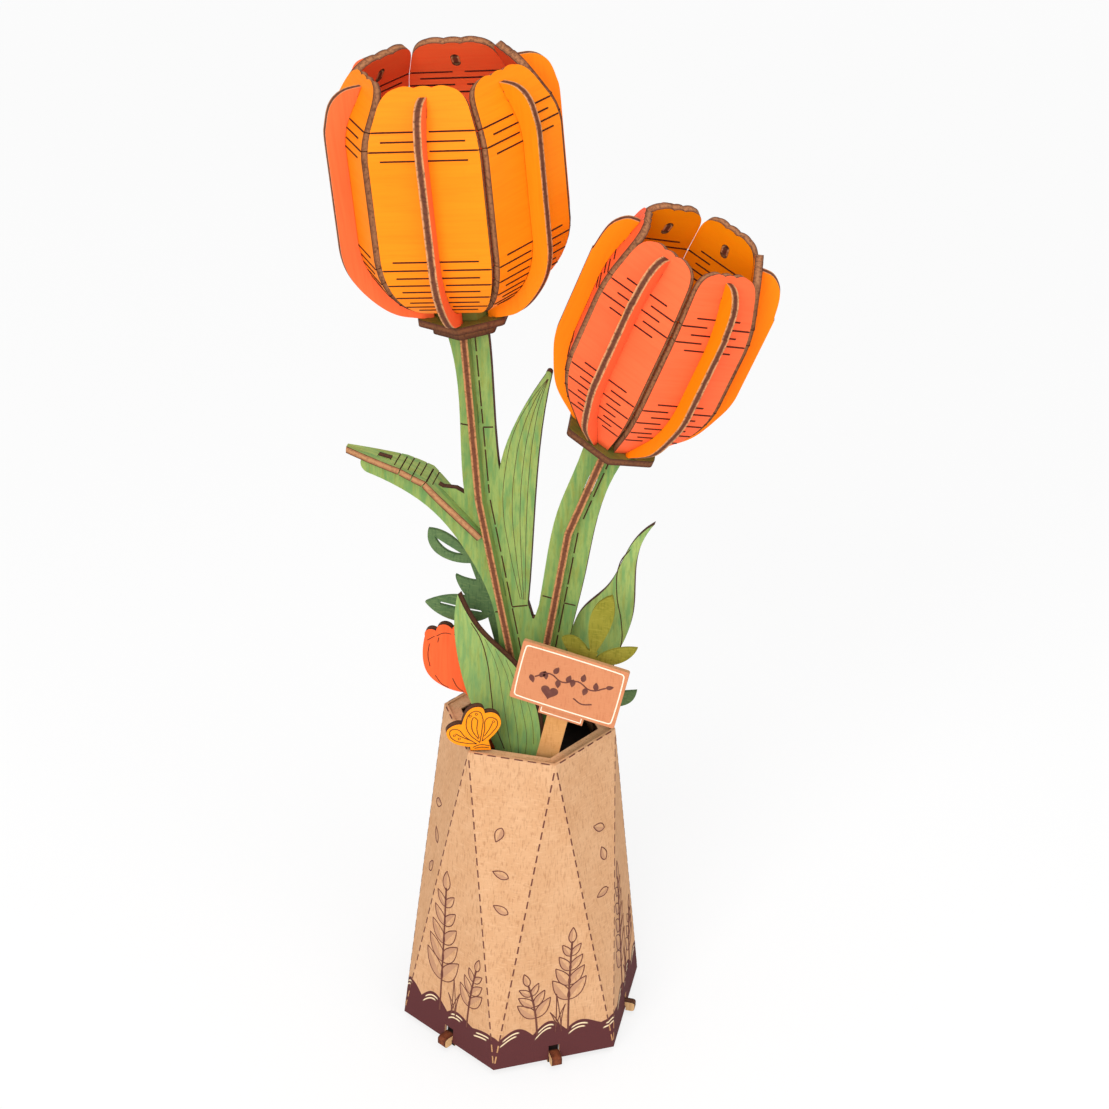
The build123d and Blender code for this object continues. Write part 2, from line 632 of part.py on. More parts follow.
def right_leaf():
    left = [(2.8, GROUND), (4.2, 0.0), (7.0, 16.0), (9.4, 25.0), (12.0, 32.2), (18.5, 40.3), (24.1, 53.3),
            (30.4, 61.3)]
    right = [(30.4, 61.3), (26.0, 48.0), (25.8, 33.0), (20.0, 16.0), (12.0, 1.0), (5.8, GROUND)]
    return Pos(0, RIGHT_LEAF_Y, 0) * sheet(leaf(left, right, *RIGHT_FOOT), PLY)


def bud():
    cup = face_of(
        Spline(over_rim((-17.3, 3.8), (-23.6, 4.5), (-28.2, 7.7), (-29.9, 14.5), (-29.3, 19.9))),
        *[ThreePointArc(*over_rim(a, b, c)) for a, b, c in (
            ((-29.3, 19.9), (-28.0, 22.3), (-26.2, 22.0)), ((-26.2, 22.0), (-24.0, 24.4), (-21.8, 23.3)),
            ((-21.8, 23.3), (-19.6, 24.9), (-17.8, 22.6)), ((-17.8, 22.6), (-15.8, 23.1), (-15.0, 20.7)))],
        Spline(over_rim((-15.0, 20.7), (-13.4, 13.4), (-14.4, 7.1), (-17.3, 3.8))))
    stalk = stalk_to(BUD_FOOT, (-17.3, 5.0), (-11.5, -2.0))
    return Pos(0, BUD_Y, 0) * sheet(cup + stalk + foot(*BUD_FOOT), PLY)


def left_sprig():
    top_leaf = pointed((-29.2, 51.1), [(-25.5, 50.7), (-20.6, 47.6)], (-17.0, 42.6),
                       [(-22.0, 42.2), (-26.6, 43.8)])
    top_leaf -= pointed((-27.6, 49.0), [(-24.0, 47.0)], (-19.6, 44.6), [(-23.4, 44.8)])
    low_leaf = pointed((-30.1, 28.5), [(-24.7, 31.1), (-18.0, 31.6)], (-12.6, 26.6),
                       [(-18.4, 24.0), (-25.4, 24.9)])
    for slit in (((-26.0, 28.8), (-21.0, 28.2)), ((-20.4, 28.0), (-14.6, 27.7))):
        low_leaf -= band(over_rim(*slit), THIN)
    mid_leaf = pointed((-21.8, 38.2), [(-18.0, 37.2)], (-13.4, 37.6), [(-12.8, 27.2), (-19.6, 33.0)])
    stalk = stalk_to(LEFT_SPRIG_FOOT, (-16.8, 43.4), (-13.2, 33.0), (-9.8, 20.0), (-7.8, 6.0))
    sprig = stalk + top_leaf + mid_leaf + low_leaf + foot(*LEFT_SPRIG_FOOT)
    return Pos(0, LEFT_SPRIG_Y, 0) * sheet(sprig, THIN)


def olive_sprig():
    upright = pointed((22.6, 46.7), [(18.2, 42.6), (16.8, 36.0)], (18.0, 27.0), [(21.8, 35.0), (23.4, 42.5)])
    left_lobe = pointed((9.9, 32.0), [(13.0, 32.8), (16.0, 30.6)], (18.6, 26.0), [(14.0, 26.6)])
    right_lobe = pointed((29.8, 32.0), [(26.0, 31.5), (21.4, 29.4)], (18.0, 26.0),
                         [(23.6, 26.0), (27.4, 28.3)])
    stalk = stalk_to(OLIVE_FOOT, (18.2, 29.0), (12.5, 13.0), (7.6, 1.0))
    sprig = stalk + upright + left_lobe + right_lobe + foot(*OLIVE_FOOT)
    return Pos(0, OLIVE_SPRIG_Y, 0) * sheet(sprig, THIN)


def right_sprig():
    blade = pointed((28.3, 11.2), [(25.4, 10.5), (20.4, 9.0)], (14.2, 4.2), [(20.6, 4.8), (26.4, 7.0)])
    stalk = stalk_to(RIGHT_SPRIG_FOOT, (15.0, 4.8), (8.0, 2.8))
    return Pos(0, RIGHT_SPRIG_Y, 0) * sheet(blade + stalk + foot(*RIGHT_SPRIG_FOOT), THIN)


# Sign on its stake, and the butterfly on the lip
def sign_parts():
    """Three glued cards; the stake's shoulders rest on the soil plate and its tongue goes through."""
    lean = Pos(SIGN_X, 0, VASE_H) * Rot(0, SIGN_LEAN, 0)
    low = -SOIL_DEPTH / cos(radians(SIGN_LEAN)) - PLY - TONGUE_PAST
    high = SIGN_LOW + STAKE_BEHIND
    long_strip = Pos(0, (low + high) / 2)
    tongue = lean * Pos(0, STAKE_Y, 0) * sheet(long_strip * Rectangle(TONGUE_W, high - low), SIGN_CARD)
    stake = lean * Pos(0, STAKE_Y, 0) * sheet(long_strip * Rectangle(STAKE_W, high - low), SIGN_CARD)
    stake -= Pos(0, 0, SOIL_TOP + FIT - VASE_H) * Box(2 * BASE_R, 2 * BASE_R, 2 * VASE_H)
    bar = Pos(SIGN_SIDE, SIGN_LOW + (BAR_BEHIND - BAR_BELOW) / 2) * Rectangle(BAR_W, BAR_BELOW + BAR_BEHIND)
    board = Pos(SIGN_SIDE, SIGN_LOW + SIGN_H / 2) * RectangleRounded(SIGN_W, SIGN_H, SIGN_CARD / 2)
    pieces["sign_stake"] = stake + tongue
    pieces["sign_crossbar"] = lean * Pos(0, STAKE_Y - SIGN_CARD, 0) * sheet(bar, SIGN_CARD)
    pieces["sign_board"] = lean * Pos(0, STAKE_Y - 2 * SIGN_CARD, 0) * sheet(board, SIGN_CARD)


def butterfly():
    x, y, turn = BUTTERFLY_AT
    wings = face_of(
        Polyline(over_rim((0.9, -CARD), (6.3, -CARD), (6.4, 0.2), (5.7, 3.0))),
        Spline(over_rim((5.7, 3.0), (7.6, 5.2), (8.9, 8.3), (8.2, 10.6), (4.6, 11.6))),
        Spline(over_rim((4.6, 11.6), (3.4, 13.6), (0.8, 13.1), (-0.8, 10.6), (-1.4, 8.4))),
        Spline(over_rim((-1.4, 8.4), (-4.2, 7.8), (-5.3, 6.6), (-4.6, 3.7), (-2.4, 2.0), (0.9, 1.2))),
        Line(*over_rim((0.9, 1.2), (0.9, -CARD))))
    plate = Pos(x, y, 0) * Rot(0, 0, turn) * sheet(wings, PLY)
    return plate - Pos(0, 0, FIT) * rim_block()


# Soil plate
def soil_plate():
    corner = wall_at(SOIL_TOP) - CARD / COS30 - SOIL_GAP
    plate = Pos(0, 0, SOIL_LOW) * extrude(hexagon(corner), PLY)
    trunk = TRUNK_RIGHT - TRUNK_LEFT + 2 * FIT
    slots = [Pos((TRUNK_LEFT + TRUNK_RIGHT) / 2, 0, SOIL_TOP) * Box(trunk, PLY + 2 * FIT, 4 * PLY)]
    slots.append(front_place() * foot_slot(FRONT_FOOT, PLY))
    for planted, y, stock in ((RIGHT_FOOT, RIGHT_LEAF_Y, PLY), (BUD_FOOT, BUD_Y, PLY),
                              (LEFT_SPRIG_FOOT, LEFT_SPRIG_Y, THIN), (OLIVE_FOOT, OLIVE_SPRIG_Y, THIN),
                              (RIGHT_SPRIG_FOOT, RIGHT_SPRIG_Y, THIN)):
        slots.append(Pos(0, y, 0) * foot_slot(planted, stock))
    slope = tan(radians(SIGN_LEAN))
    width = TONGUE_W / cos(radians(SIGN_LEAN)) + PLY * slope + 2 * SLIDE
    stake_x = SIGN_X - (SOIL_DEPTH + PLY / 2) * slope
    slots.append(Pos(stake_x, STAKE_Y, SOIL_TOP) * Box(width, SIGN_CARD + 2 * SLIDE, 4 * PLY))
    return plate - slots


def foot_slot(planted, stock):
    middle, width = planted
    return Pos(middle, 0, SOIL_TOP) * Box(width + 2 * FIT, stock + 2 * FIT, 4 * PLY)


def main():
    web_low, frame_right, frame_left = base_frames()
    pieces["vase_sleeve"] = vase_sleeve()
    pieces["base_frame_right"] = frame_right
    pieces["base_frame_left"] = frame_left
    pieces["soil_plate"] = soil_plate()
    pieces["stem_board"] = stem_board(web_low)
    for side, path in (("left", LEFT_SPINE), ("right", RIGHT_SPINE)):
        pieces[f"{side}_stem_spine_front"] = spine(path, -1)
        pieces[f"{side}_stem_spine_back"] = spine(path, 1)
    pieces["left_leaf_blade"] = leaf_blade()
    pieces["front_leaf"] = front_leaf()
    pieces["right_leaf"] = right_leaf()
    pieces["bud"] = bud()
    pieces["left_sprig"] = left_sprig()
    pieces["olive_sprig"] = olive_sprig()
    pieces["right_sprig"] = right_sprig()
    pieces["butterfly"] = butterfly()
    sign_parts()
    tulip_head(LEFT)
    tulip_head(RIGHT)
    os.makedirs("parts", exist_ok=True)
    for name, part in pieces.items():
        export_step(Pos(0, 0, FOOT_DROP) * part, f"parts/{name}.step")


main()
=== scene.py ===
import json
import math
import random
import bmesh
import bpy
import numpy as np
from mathutils import Matrix, Vector

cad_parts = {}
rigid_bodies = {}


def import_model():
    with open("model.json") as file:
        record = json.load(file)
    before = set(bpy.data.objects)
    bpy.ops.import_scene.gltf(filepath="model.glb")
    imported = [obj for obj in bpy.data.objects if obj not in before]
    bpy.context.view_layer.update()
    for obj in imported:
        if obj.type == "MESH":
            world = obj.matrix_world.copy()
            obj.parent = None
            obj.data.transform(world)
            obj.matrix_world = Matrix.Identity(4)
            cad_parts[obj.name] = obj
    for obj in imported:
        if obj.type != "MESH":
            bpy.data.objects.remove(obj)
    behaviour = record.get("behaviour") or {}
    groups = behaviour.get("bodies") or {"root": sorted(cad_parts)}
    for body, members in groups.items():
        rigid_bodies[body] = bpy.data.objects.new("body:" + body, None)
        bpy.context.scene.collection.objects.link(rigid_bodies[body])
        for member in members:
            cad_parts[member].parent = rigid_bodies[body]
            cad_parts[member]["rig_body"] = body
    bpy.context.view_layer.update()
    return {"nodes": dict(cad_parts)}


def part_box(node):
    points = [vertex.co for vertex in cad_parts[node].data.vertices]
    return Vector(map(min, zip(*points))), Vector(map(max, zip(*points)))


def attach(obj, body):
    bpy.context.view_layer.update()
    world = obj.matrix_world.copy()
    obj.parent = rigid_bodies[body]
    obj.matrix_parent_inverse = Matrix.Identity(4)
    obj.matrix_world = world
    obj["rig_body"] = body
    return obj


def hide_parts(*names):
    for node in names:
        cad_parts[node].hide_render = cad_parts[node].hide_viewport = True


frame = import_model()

MM = 0.001
NODES = frame["nodes"]

# Sizes repeated from the solids, in millimetres and degrees
SIDES = 6
SIDE_TURN = 60
PLY = 2.0
CARD = 0.8
FLOOR_GAP = 2.0
VASE_H = 95.0
RIM = FLOOR_GAP + VASE_H
SOIL_TOP = RIM - 13.0
BASE_R = 35.0
RIM_R = 23.5
SIGN_AT = (8.35, 11.0)
SIGN_MIDDLE = (0.8, 23.0)
SIGN_SIZE = (28.4, 18.2)
BAR_SIZE = (12.0, 3.0)
SPINES = {
    "left": [(-18.15, 210.0), (-13.7, 163.4), (-2.9, 110.0)],
    "right": [(18.87, 183.7), (9.7, 157.2), (3.2, 110.0)],
}
TURNED = {"front_leaf": -18.0, "butterfly": 20.0, "base_frame_right": 60.0, "base_frame_left": -60.0}
FRONT_LEAF_AT = (-6.6, -6.6)
RIGHT_LEAF_AT = (0, 5.6)
BUD_AT = (0, 2.2)
BUTTERFLY_AT = (-12.6, -18.8)

# The left leaf: path, half widths, and its hinge cuts as number, first place, pitch and bridge
BLADE = [(-49.6, 171.4), (-34.7, 168.7), (-31.6, 167.6), (-28.1, 166.3), (-13.6, 151.5)]
BLADE_HALF = [(-38.0, 3.3), (-31.6, 4.2), (-25.0, 4.3)]
BLADE_CUTS = (7, 13.5, 1.75, 1.4)

# The tulips: up and low hold the height where a petal begins to bend, cuts, pitch, bend and last length
TULIPS = {
    "left": {
        "at": (-21.0, 0.0, 235.0),
        "tilt": -6.5,
        "phase": -86.2,
        "body": 24.7,
        "up": (26.8, 4, 2.2, 30.0, 10.4),
        "low": (2.1, 12, 2.19, 70.0, 5.0),
        "open_cuts": 9,
        "first_middle": 0,
        "bridge": 1.5,
        "middle_share": 0.8,
    },
    "right": {
        "at": (26.6, 0.0, 205.0),
        "tilt": 19.9,
        "phase": -113.1,
        "body": 19.3,
        "up": (18.1, 5, 2.1, 16.0, 11.0),
        "low": (2.1, 8, 2.1, 35.0, 10.4),
        "open_cuts": 8,
        "first_middle": 1,
        "bridge": 2.6,
        "middle_share": 0.66,
    },
}
PETAL_GAP = 0.04

# Edges of the dressed pieces: rounding in millimetres, and the share of the thickness that counts as a face
SOFT = 0.1
SOFT_PETAL = 0.08
SOFT_SIGN = 0.06
SOFT_THIN = 0.05
FACE_SHARE = 0.08
SIDE_ONE, SIDE_TWO, CUT_EDGE, BARE_SIDE = range(4)

# Drawn lines, in millimetres: widths, how far they end before an edge, and how deep they lie in the sheet
VEIN = 0.3
HINGE_LINE = 0.4
BLADE_LINE = 0.36
SEAM_SHADE_LINE = 0.42
CUT_LINE = 0.46
SPOT_LINE = 0.26
BORDER_LINE = 0.42
VINE_LINE = 0.44
THIN_LINE = 0.34
STALK_LINE = 0.6
LINE_SHORT = 0.3
FRONT = PLY / 2 - 0.08
SIGN_SINK = 0.05
VASE_SINK = 0.04
PATCH_LIFT = 0.03
SPOT_R = 0.3

# The broken dark lines of painted shade where each stem's spine meets the board, in millimetres: place
# beside the spine, and limits of a run and a gap
SEAM_SHADE_OFF = 2.1
SEAM_SHADE_RUN = (4, 9)
SEAM_SHADE_GAP = (0.7, 1.3)

# The printed band along the vase's foot, in millimetres, and its two cream lines as depth and start
BAND_LOW = 9.4
BAND_WAVE = 3.8
BAND_WAVES = 21
BAND_LINES = ((1.3, 0.0), (2.4, 0.5))

# The dashes on the vase's folds, in millimetres
DASH = 2.3
DASH_GAP = 1.3
DASH_HALF = 0.2
DASH_LIFT = 0.04

# The vase's sprigs: foot, height, bend, pairs of leaves, a leaf's length and spread, bare share of the stalk
SPRIGS = (
    (((-4.0, 8.5), 41.0, -0.5, 5, 10.5, 0.6, 0.25), ((6.5, 8.5), 20.5, 2.0, 3, 7.4, 0.6, 0.35)),
    (((-5.0, 9.0), 17.5, -2.5, 3, 7.4, 0.7, 0.35), ((4.0, 9.0), 29.5, 1.0, 4, 8.6, 0.6, 0.35)),
)

# The tuft of grass beside them: foot, heights and bends, and half the width of a blade
TUFT = ((1.2, 9.0), (13.0, 9.0, 7.0), (-0.6, 2.0, -2.4))
TUFT_HALF = 0.9

# The fallen leaves on each upper panel: number, length, height of the first, pitch and stray
FALLEN_COUNT = 3
FALLEN = 4.6
FALLEN_LOW = 50
FALLEN_PITCH = 11
FALLEN_STRAY = 2

# One side of a leaf's outline, as shares of its length and width
LEAF_SIDE = [(0, 0), (0.12, 0.3), (0.35, 0.5), (0.6, 0.44), (0.82, 0.24), (1, 0)]

# Camera: focal length and picture in pixels, azimuth, height and roll in degrees, place in millimetres
SENSOR = 36.0
FOCAL = 2443.81
PICTURE = 1109
CAMERA_TURN = (11.58, 30.74, 1.76)
CAMERA_AT = (113.8, -528.4, 467.0 + FLOOR_GAP)

# Light: each lamp's name, place, size in metres and power in watts
LAMPS = (
    ("key", (-0.15, -1.3, 0.95), 1.0, 15),
    ("fill", (1.1, -0.9, 0.8), 1.0, 4),
    ("top", (0.1, -0.1, 1.5), 1.2, 6),
)
LAMP_TARGET = (0, 0, 0.14)
WORLD_LIGHT = 0.55

# Floor, in metres: half its size, the edge of the dark inside the vase, and where its glow rises
FLOOR_HALF = 6.0
FLOOR_DARK = (0.023, 0.027)
GLOW_AT = (0.3, 1.5)
GLOW = (0.75, 1.0)


# Shader building
def srgb(r, g, b):
    """A colour in steps of 0 to 255, as the linear values that shaders take."""
    return tuple(((c / 255 + 0.055) / 1.055) ** 2.4 for c in (r, g, b)) + (1.0,)


def darker(colour, share):
    return tuple(c * share for c in colour[:3]) + (1.0,)


class Shader:
    """A material with one principled surface, and short names for the nodes that colour it."""

    def __init__(self, name, roughness, specular):
        self.mat = bpy.data.materials.new(name)
        self.mat.use_nodes = True
        self.tree = self.mat.node_tree
        self.bsdf = self.tree.nodes["Principled BSDF"]
        self.bsdf.inputs["Roughness"].default_value = roughness
        self.bsdf.inputs["Specular IOR Level"].default_value = specular

    def node(self, kind, inputs, **settings):
        made = self.tree.nodes.new("ShaderNode" + kind)
        for key, value in settings.items():
            setattr(made, key, value)
        for key, value in inputs.items():
            if isinstance(value, bpy.types.NodeSocket):
                self.tree.links.new(value, made.inputs[key])
            else:
                made.inputs[key].default_value = value
        return made

    def uv(self, name):
        return self.node("UVMap", {}, uv_map=name).outputs[0]

    def place(self):
        """Place in the shared frame, in metres."""
        return self.node("TexCoord", {}).outputs["Object"]

    def reach(self, place):
        """Distance from the frame's origin, in metres."""
        return self.node("VectorMath", {0: place}, operation="LENGTH").outputs["Value"]

    def noise(self, vector, scale, detail, shift=0.0):
        """Noise with its own scale, in features per metre, along each axis."""
        settings = {"Vector": vector, "Scale": scale, "Location": (shift, shift, 0)}
        scaled = self.node("Mapping", settings).outputs[0]
        return self.node("TexNoise", {"Vector": scaled, "Scale": 1.0, "Detail": detail}).outputs[0]

    def step(self, value, low, high):
        made = self.node("MapRange", {"Value": value, "From Min": low, "From Max": high})
        return made.outputs[0]

    def maths(self, operation, a, b=0.0):
        return self.node("Math", {0: a, 1: b}, operation=operation).outputs[0]

    def mix(self, share, a, b):
        """Two colours mixed: this node takes them at inputs 6 and 7, and gives the result at output 2."""
        return self.node("Mix", {0: share, 6: a, 7: b}, data_type="RGBA").outputs[2]

    def cover(self, under, over, value, low, high, share):
        """One colour over another where a value rises from low to high, by no more than the share."""
        return self.mix(self.maths("MULTIPLY", self.step(value, low, high), share), under, over)

    def attribute(self, name):
        return self.node("Attribute", {}, attribute_name=name).outputs["Fac"]

    def colour(self, socket):
        self.tree.links.new(socket, self.bsdf.inputs["Base Color"])

    def bump(self, height, distance, strength):
        made = self.node("Bump", {"Height": height, "Distance": distance, "Strength": strength})
        self.tree.links.new(made.outputs[0], self.bsdf.inputs["Normal"])


def printed(name, colour, streak, share, roughness=0.55):
    """Printed plywood: the colour lies over the wood's fibres and pores."""
    s = Shader(name, roughness, 0.12)
    uv = s.uv("grain")
    fibre = s.noise(uv, (1500, 70, 1), 4)
    broad = s.noise(uv, (160, 24, 1), 2)
    pores = s.noise(uv, (3600, 260, 1), 2)
    mixed = s.cover(colour, streak, fibre, 0.42, 0.7, share)
    mixed = s.cover(mixed, streak, broad, 0.4, 0.75, share * 0.8)
    mixed = s.cover(mixed, darker(streak, 0.55), pores, 0.66, 0.78, 0.3)
    s.colour(mixed)
    s.bump(fibre, 0.00006, 0.5)
    return s.mat


def leafy(name, colour, cool, warm, deep):
    """Printed green with short streaks of two other greens, deeper towards the vase."""
    s = Shader(name, 0.6, 0.12)
    uv = s.uv("grain")
    fibre = s.noise(uv, (2600, 300, 1), 3)
    cools = s.noise(uv, (700, 95, 1), 4)
    warms = s.noise(uv, (850, 120, 1), 4, 5.3)
    fine = s.noise(uv, (1500, 500, 1), 3, 9.1)
    height = s.node("SeparateXYZ", {0: s.place()}).outputs[2]
    low = s.maths("MULTIPLY", s.step(height, (RIM + 45) * MM, (RIM - 5) * MM), 0.6)
    mixed = s.cover(colour, cool, cools, 0.44, 0.64, 0.8)
    mixed = s.cover(mixed, warm, warms, 0.5, 0.66, 0.7)
    mixed = s.mix(low, mixed, s.mix(s.step(cools, 0.4, 0.62), deep, cool))
    mixed = s.cover(mixed, cool, fine, 0.52, 0.7, 0.4)
    mixed = s.cover(mixed, darker(cool, 0.5), fibre, 0.55, 0.75, 0.4)
    s.colour(mixed)
    s.bump(fibre, 0.00006, 0.5)
    return s.mat


def charred(name, middle, outer, face, speck, speckle, face_at=(0.33, 0.46), shade_inside=None):
    """A laser-cut edge: colours of the sheet's middle, its outer plies and its two faces, with specks.

    Nearer to the origin than shade_inside, in millimetres, it is painted near black as shade, the shade
    inside the vase.
    """
    s = Shader(name, 0.75, 0.15)
    place = s.place()
    off = s.maths("ABSOLUTE", s.maths("SUBTRACT", s.attribute("ply"), 0.5))
    ragged = s.noise(place, (500, 500, 500), 3)
    off = s.maths("ADD", off, s.maths("MULTIPLY", s.maths("SUBTRACT", ragged, 0.5), 0.16))
    grains = s.noise(place, (1500, 1500, 1500), 3)
    mixed = s.mix(s.step(off, 0.13, 0.24), middle, outer)
    mixed = s.mix(s.step(off, *face_at), mixed, face)
    mixed = s.cover(mixed, speck, grains, 0.48, 0.66, speckle)
    # Painted shade: inside the vase the edge is painted near black for the shade there
    if shade_inside:
        painted_shade = s.step(s.reach(place), shade_inside * MM, (shade_inside - 0.6) * MM)
        mixed = s.mix(painted_shade, mixed, srgb(20, 14, 12))
    s.colour(mixed)
    s.bump(grains, 0.0001, 0.5)
    return s.mat


def card_shader(name, colour, fleck, pale):
    """Matt card with short fibres and flecks: its shader, and its colour before any print."""
    s = Shader(name, 0.85, 0.12)
    place = s.place()
    cloud = s.noise(place, (120, 120, 120), 3)
    across = s.noise(place, (2400, 2400, 420), 2)
    along = s.noise(place, (520, 520, 2600), 2)
    mixed = s.cover(colour, pale, cloud, 0.35, 0.7, 0.4)
    mixed = s.cover(mixed, fleck, across, 0.52, 0.72, 0.6)
    mixed = s.cover(mixed, pale, along, 0.52, 0.72, 0.5)
    s.bump(s.maths("ADD", across, along), 0.00005, 0.4)
    return s, mixed


def board(name, *colours):
    """Bare card."""
    s, mixed = card_shader(name, *colours)
    s.colour(mixed)
    return s.mat


def printed_card(name, colours, ink, cream):
    """Card with a band of printed clouds along its foot."""
    s, mixed = card_shader(name, *colours)
    wrap = s.node("SeparateXYZ", {0: s.uv("wrap")})

    def wave(count, start):
        turn = s.maths("MULTIPLY", wrap.outputs[0], count * math.pi)
        return s.maths("SINE", s.maths("ADD", turn, start))

    tall = s.maths("ADD", s.maths("MULTIPLY", wave(10, 1.0), 0.35), 0.65)
    cloud = s.maths("MULTIPLY", s.maths("ABSOLUTE", wave(BAND_WAVES, 0.4)), tall)
    edge = s.maths("ADD", s.maths("MULTIPLY", cloud, BAND_WAVE * MM), BAND_LOW * MM)
    under = s.maths("SUBTRACT", edge, wrap.outputs[1])
    mixed = s.mix(s.step(under, -0.00008, 0.00008), mixed, ink)
    for depth, start in BAND_LINES:
        off = s.maths("ABSOLUTE", s.maths("SUBTRACT", under, depth * MM))
        shown = s.step(wave(2 * BAND_WAVES, start), 0.0, 0.35)
        drawn = s.maths("MULTIPLY", s.step(off, 0.0003, 0.00016), shown)
        mixed = s.mix(drawn, mixed, cream)
    s.colour(mixed)
    return s.mat


def plain(name, colour, other, scale, roughness=0.7):
    """Ink or paint with a slight unevenness."""
    s = Shader(name, roughness, 0.15)
    patch = s.noise(s.place(), (scale, scale, scale), 3)
    s.colour(s.cover(colour, other, patch, 0.4, 0.7, 0.5))
    return s.mat


# Materials
EDGE = charred("charred_edge", srgb(98, 62, 44), srgb(84, 52, 38), srgb(62, 38, 30), srgb(48, 29, 23), 0.5)
PETAL_EDGE = charred("petal_edge", srgb(172, 116, 78), srgb(148, 96, 64), srgb(86, 50, 36),
                     srgb(82, 48, 36), 0.65)
RIB_EDGE = charred("rib_edge", srgb(106, 60, 42), srgb(122, 72, 48), srgb(206, 146, 100),
                   srgb(70, 36, 26), 0.6, (0.24, 0.36))
SPINE_EDGE = charred("spine_edge", srgb(112, 66, 44), srgb(122, 72, 46), srgb(190, 130, 84),
                     srgb(78, 42, 28), 0.55, (0.2, 0.32))
WARM_EDGE = charred("warm_edge", srgb(120, 76, 48), srgb(100, 60, 40), srgb(74, 44, 30),
                    srgb(66, 38, 26), 0.55)
# The pegs' edges, painted near black as shade where they lie inside the vase
PEG_EDGE_INNER_SHADE = charred("peg_edge_inner_shade", srgb(126, 66, 40), srgb(112, 56, 34), srgb(82, 40, 26),
                   srgb(70, 34, 22), 0.5, shade_inside=30.0)
PALE_EDGE = charred("pale_edge", srgb(186, 134, 92), srgb(166, 114, 76), srgb(74, 44, 30),
                    srgb(112, 72, 46), 0.4)
YELLOW = printed("petal_yellow", srgb(255, 140, 16), srgb(252, 122, 6), 0.4)
RED = printed("petal_red", srgb(255, 114, 62), srgb(252, 92, 44), 0.35)
CORAL = printed("petal_coral", srgb(252, 108, 62), srgb(246, 90, 48), 0.32)
ORANGE = printed("petal_orange", srgb(255, 152, 8), srgb(255, 134, 2), 0.3)
AMBER = printed("rib_amber", srgb(255, 134, 4), srgb(250, 118, 2), 0.3)
GREEN = leafy("leaf_green", srgb(162, 181, 103), srgb(112, 155, 93), srgb(149, 155, 77),
              srgb(117, 153, 71))
STEM_GREEN = leafy("stem_green", srgb(146, 165, 90), srgb(103, 145, 84), srgb(140, 146, 67),
                   srgb(106, 140, 62))
CALYX = printed("calyx_green", srgb(124, 128, 58), srgb(84, 94, 44), 0.6)
BUD = printed("bud_orange", srgb(255, 106, 54), srgb(246, 84, 40), 0.5)
WING = printed("wing_yellow", srgb(255, 152, 24), srgb(250, 132, 10), 0.4)
BARE = printed("bare_wood", srgb(228, 186, 134), srgb(196, 146, 96), 0.7, 0.65)
SOIL = plain("soil_black", srgb(34, 27, 24), srgb(18, 14, 13), 900, 0.95)
DARK_CARD = board("sprig_card", srgb(82, 110, 70), srgb(52, 80, 54), srgb(122, 142, 90))
OLIVE_CARD = board("olive_card", srgb(134, 128, 42), srgb(104, 104, 28), srgb(168, 158, 66))
SIGN_CARD = board("sign_card", srgb(204, 132, 92), srgb(192, 118, 80), srgb(212, 144, 102))
STAKE_CARD = board("stake_card", srgb(204, 146, 86), srgb(184, 124, 68), srgb(220, 164, 106))
CARD_EDGE = board("card_edge", srgb(190, 140, 96), srgb(150, 104, 66), srgb(206, 160, 116))
KRAFT_COLOURS = (srgb(206, 157, 115), srgb(168, 119, 80), srgb(224, 180, 140))
KRAFT = board("kraft_card", *KRAFT_COLOURS)
KRAFT_PRINT = printed_card("kraft_printed", KRAFT_COLOURS, srgb(92, 49, 50), srgb(240, 216, 176))
INK = plain("brown_ink", srgb(104, 60, 52), srgb(124, 78, 64), 700)
SHADE = plain("brown_shade", srgb(186, 138, 106), srgb(200, 152, 116), 500)
# Brown lines: charred engraving and cuts, and painted shade where the stems' spines meet the board
BURN_AND_SHADE = plain("burnt_and_shade_line", srgb(66, 40, 26), srgb(92, 60, 36), 900)
# Dark strips over the hinge cuts: char beside each slit, and painted shade in it
CUT_CHAR_AND_SHADE = plain("burnt_cut_and_slit_shade", srgb(58, 22, 14), srgb(78, 34, 20), 900)
CREAM = plain("cream_line", srgb(250, 236, 214), srgb(240, 222, 196), 500)


# Pieces made from the solids' own meshes
def add_object(name, data):
    made = bpy.data.objects.new(name, data)
    bpy.context.scene.collection.objects.link(made)
    return made


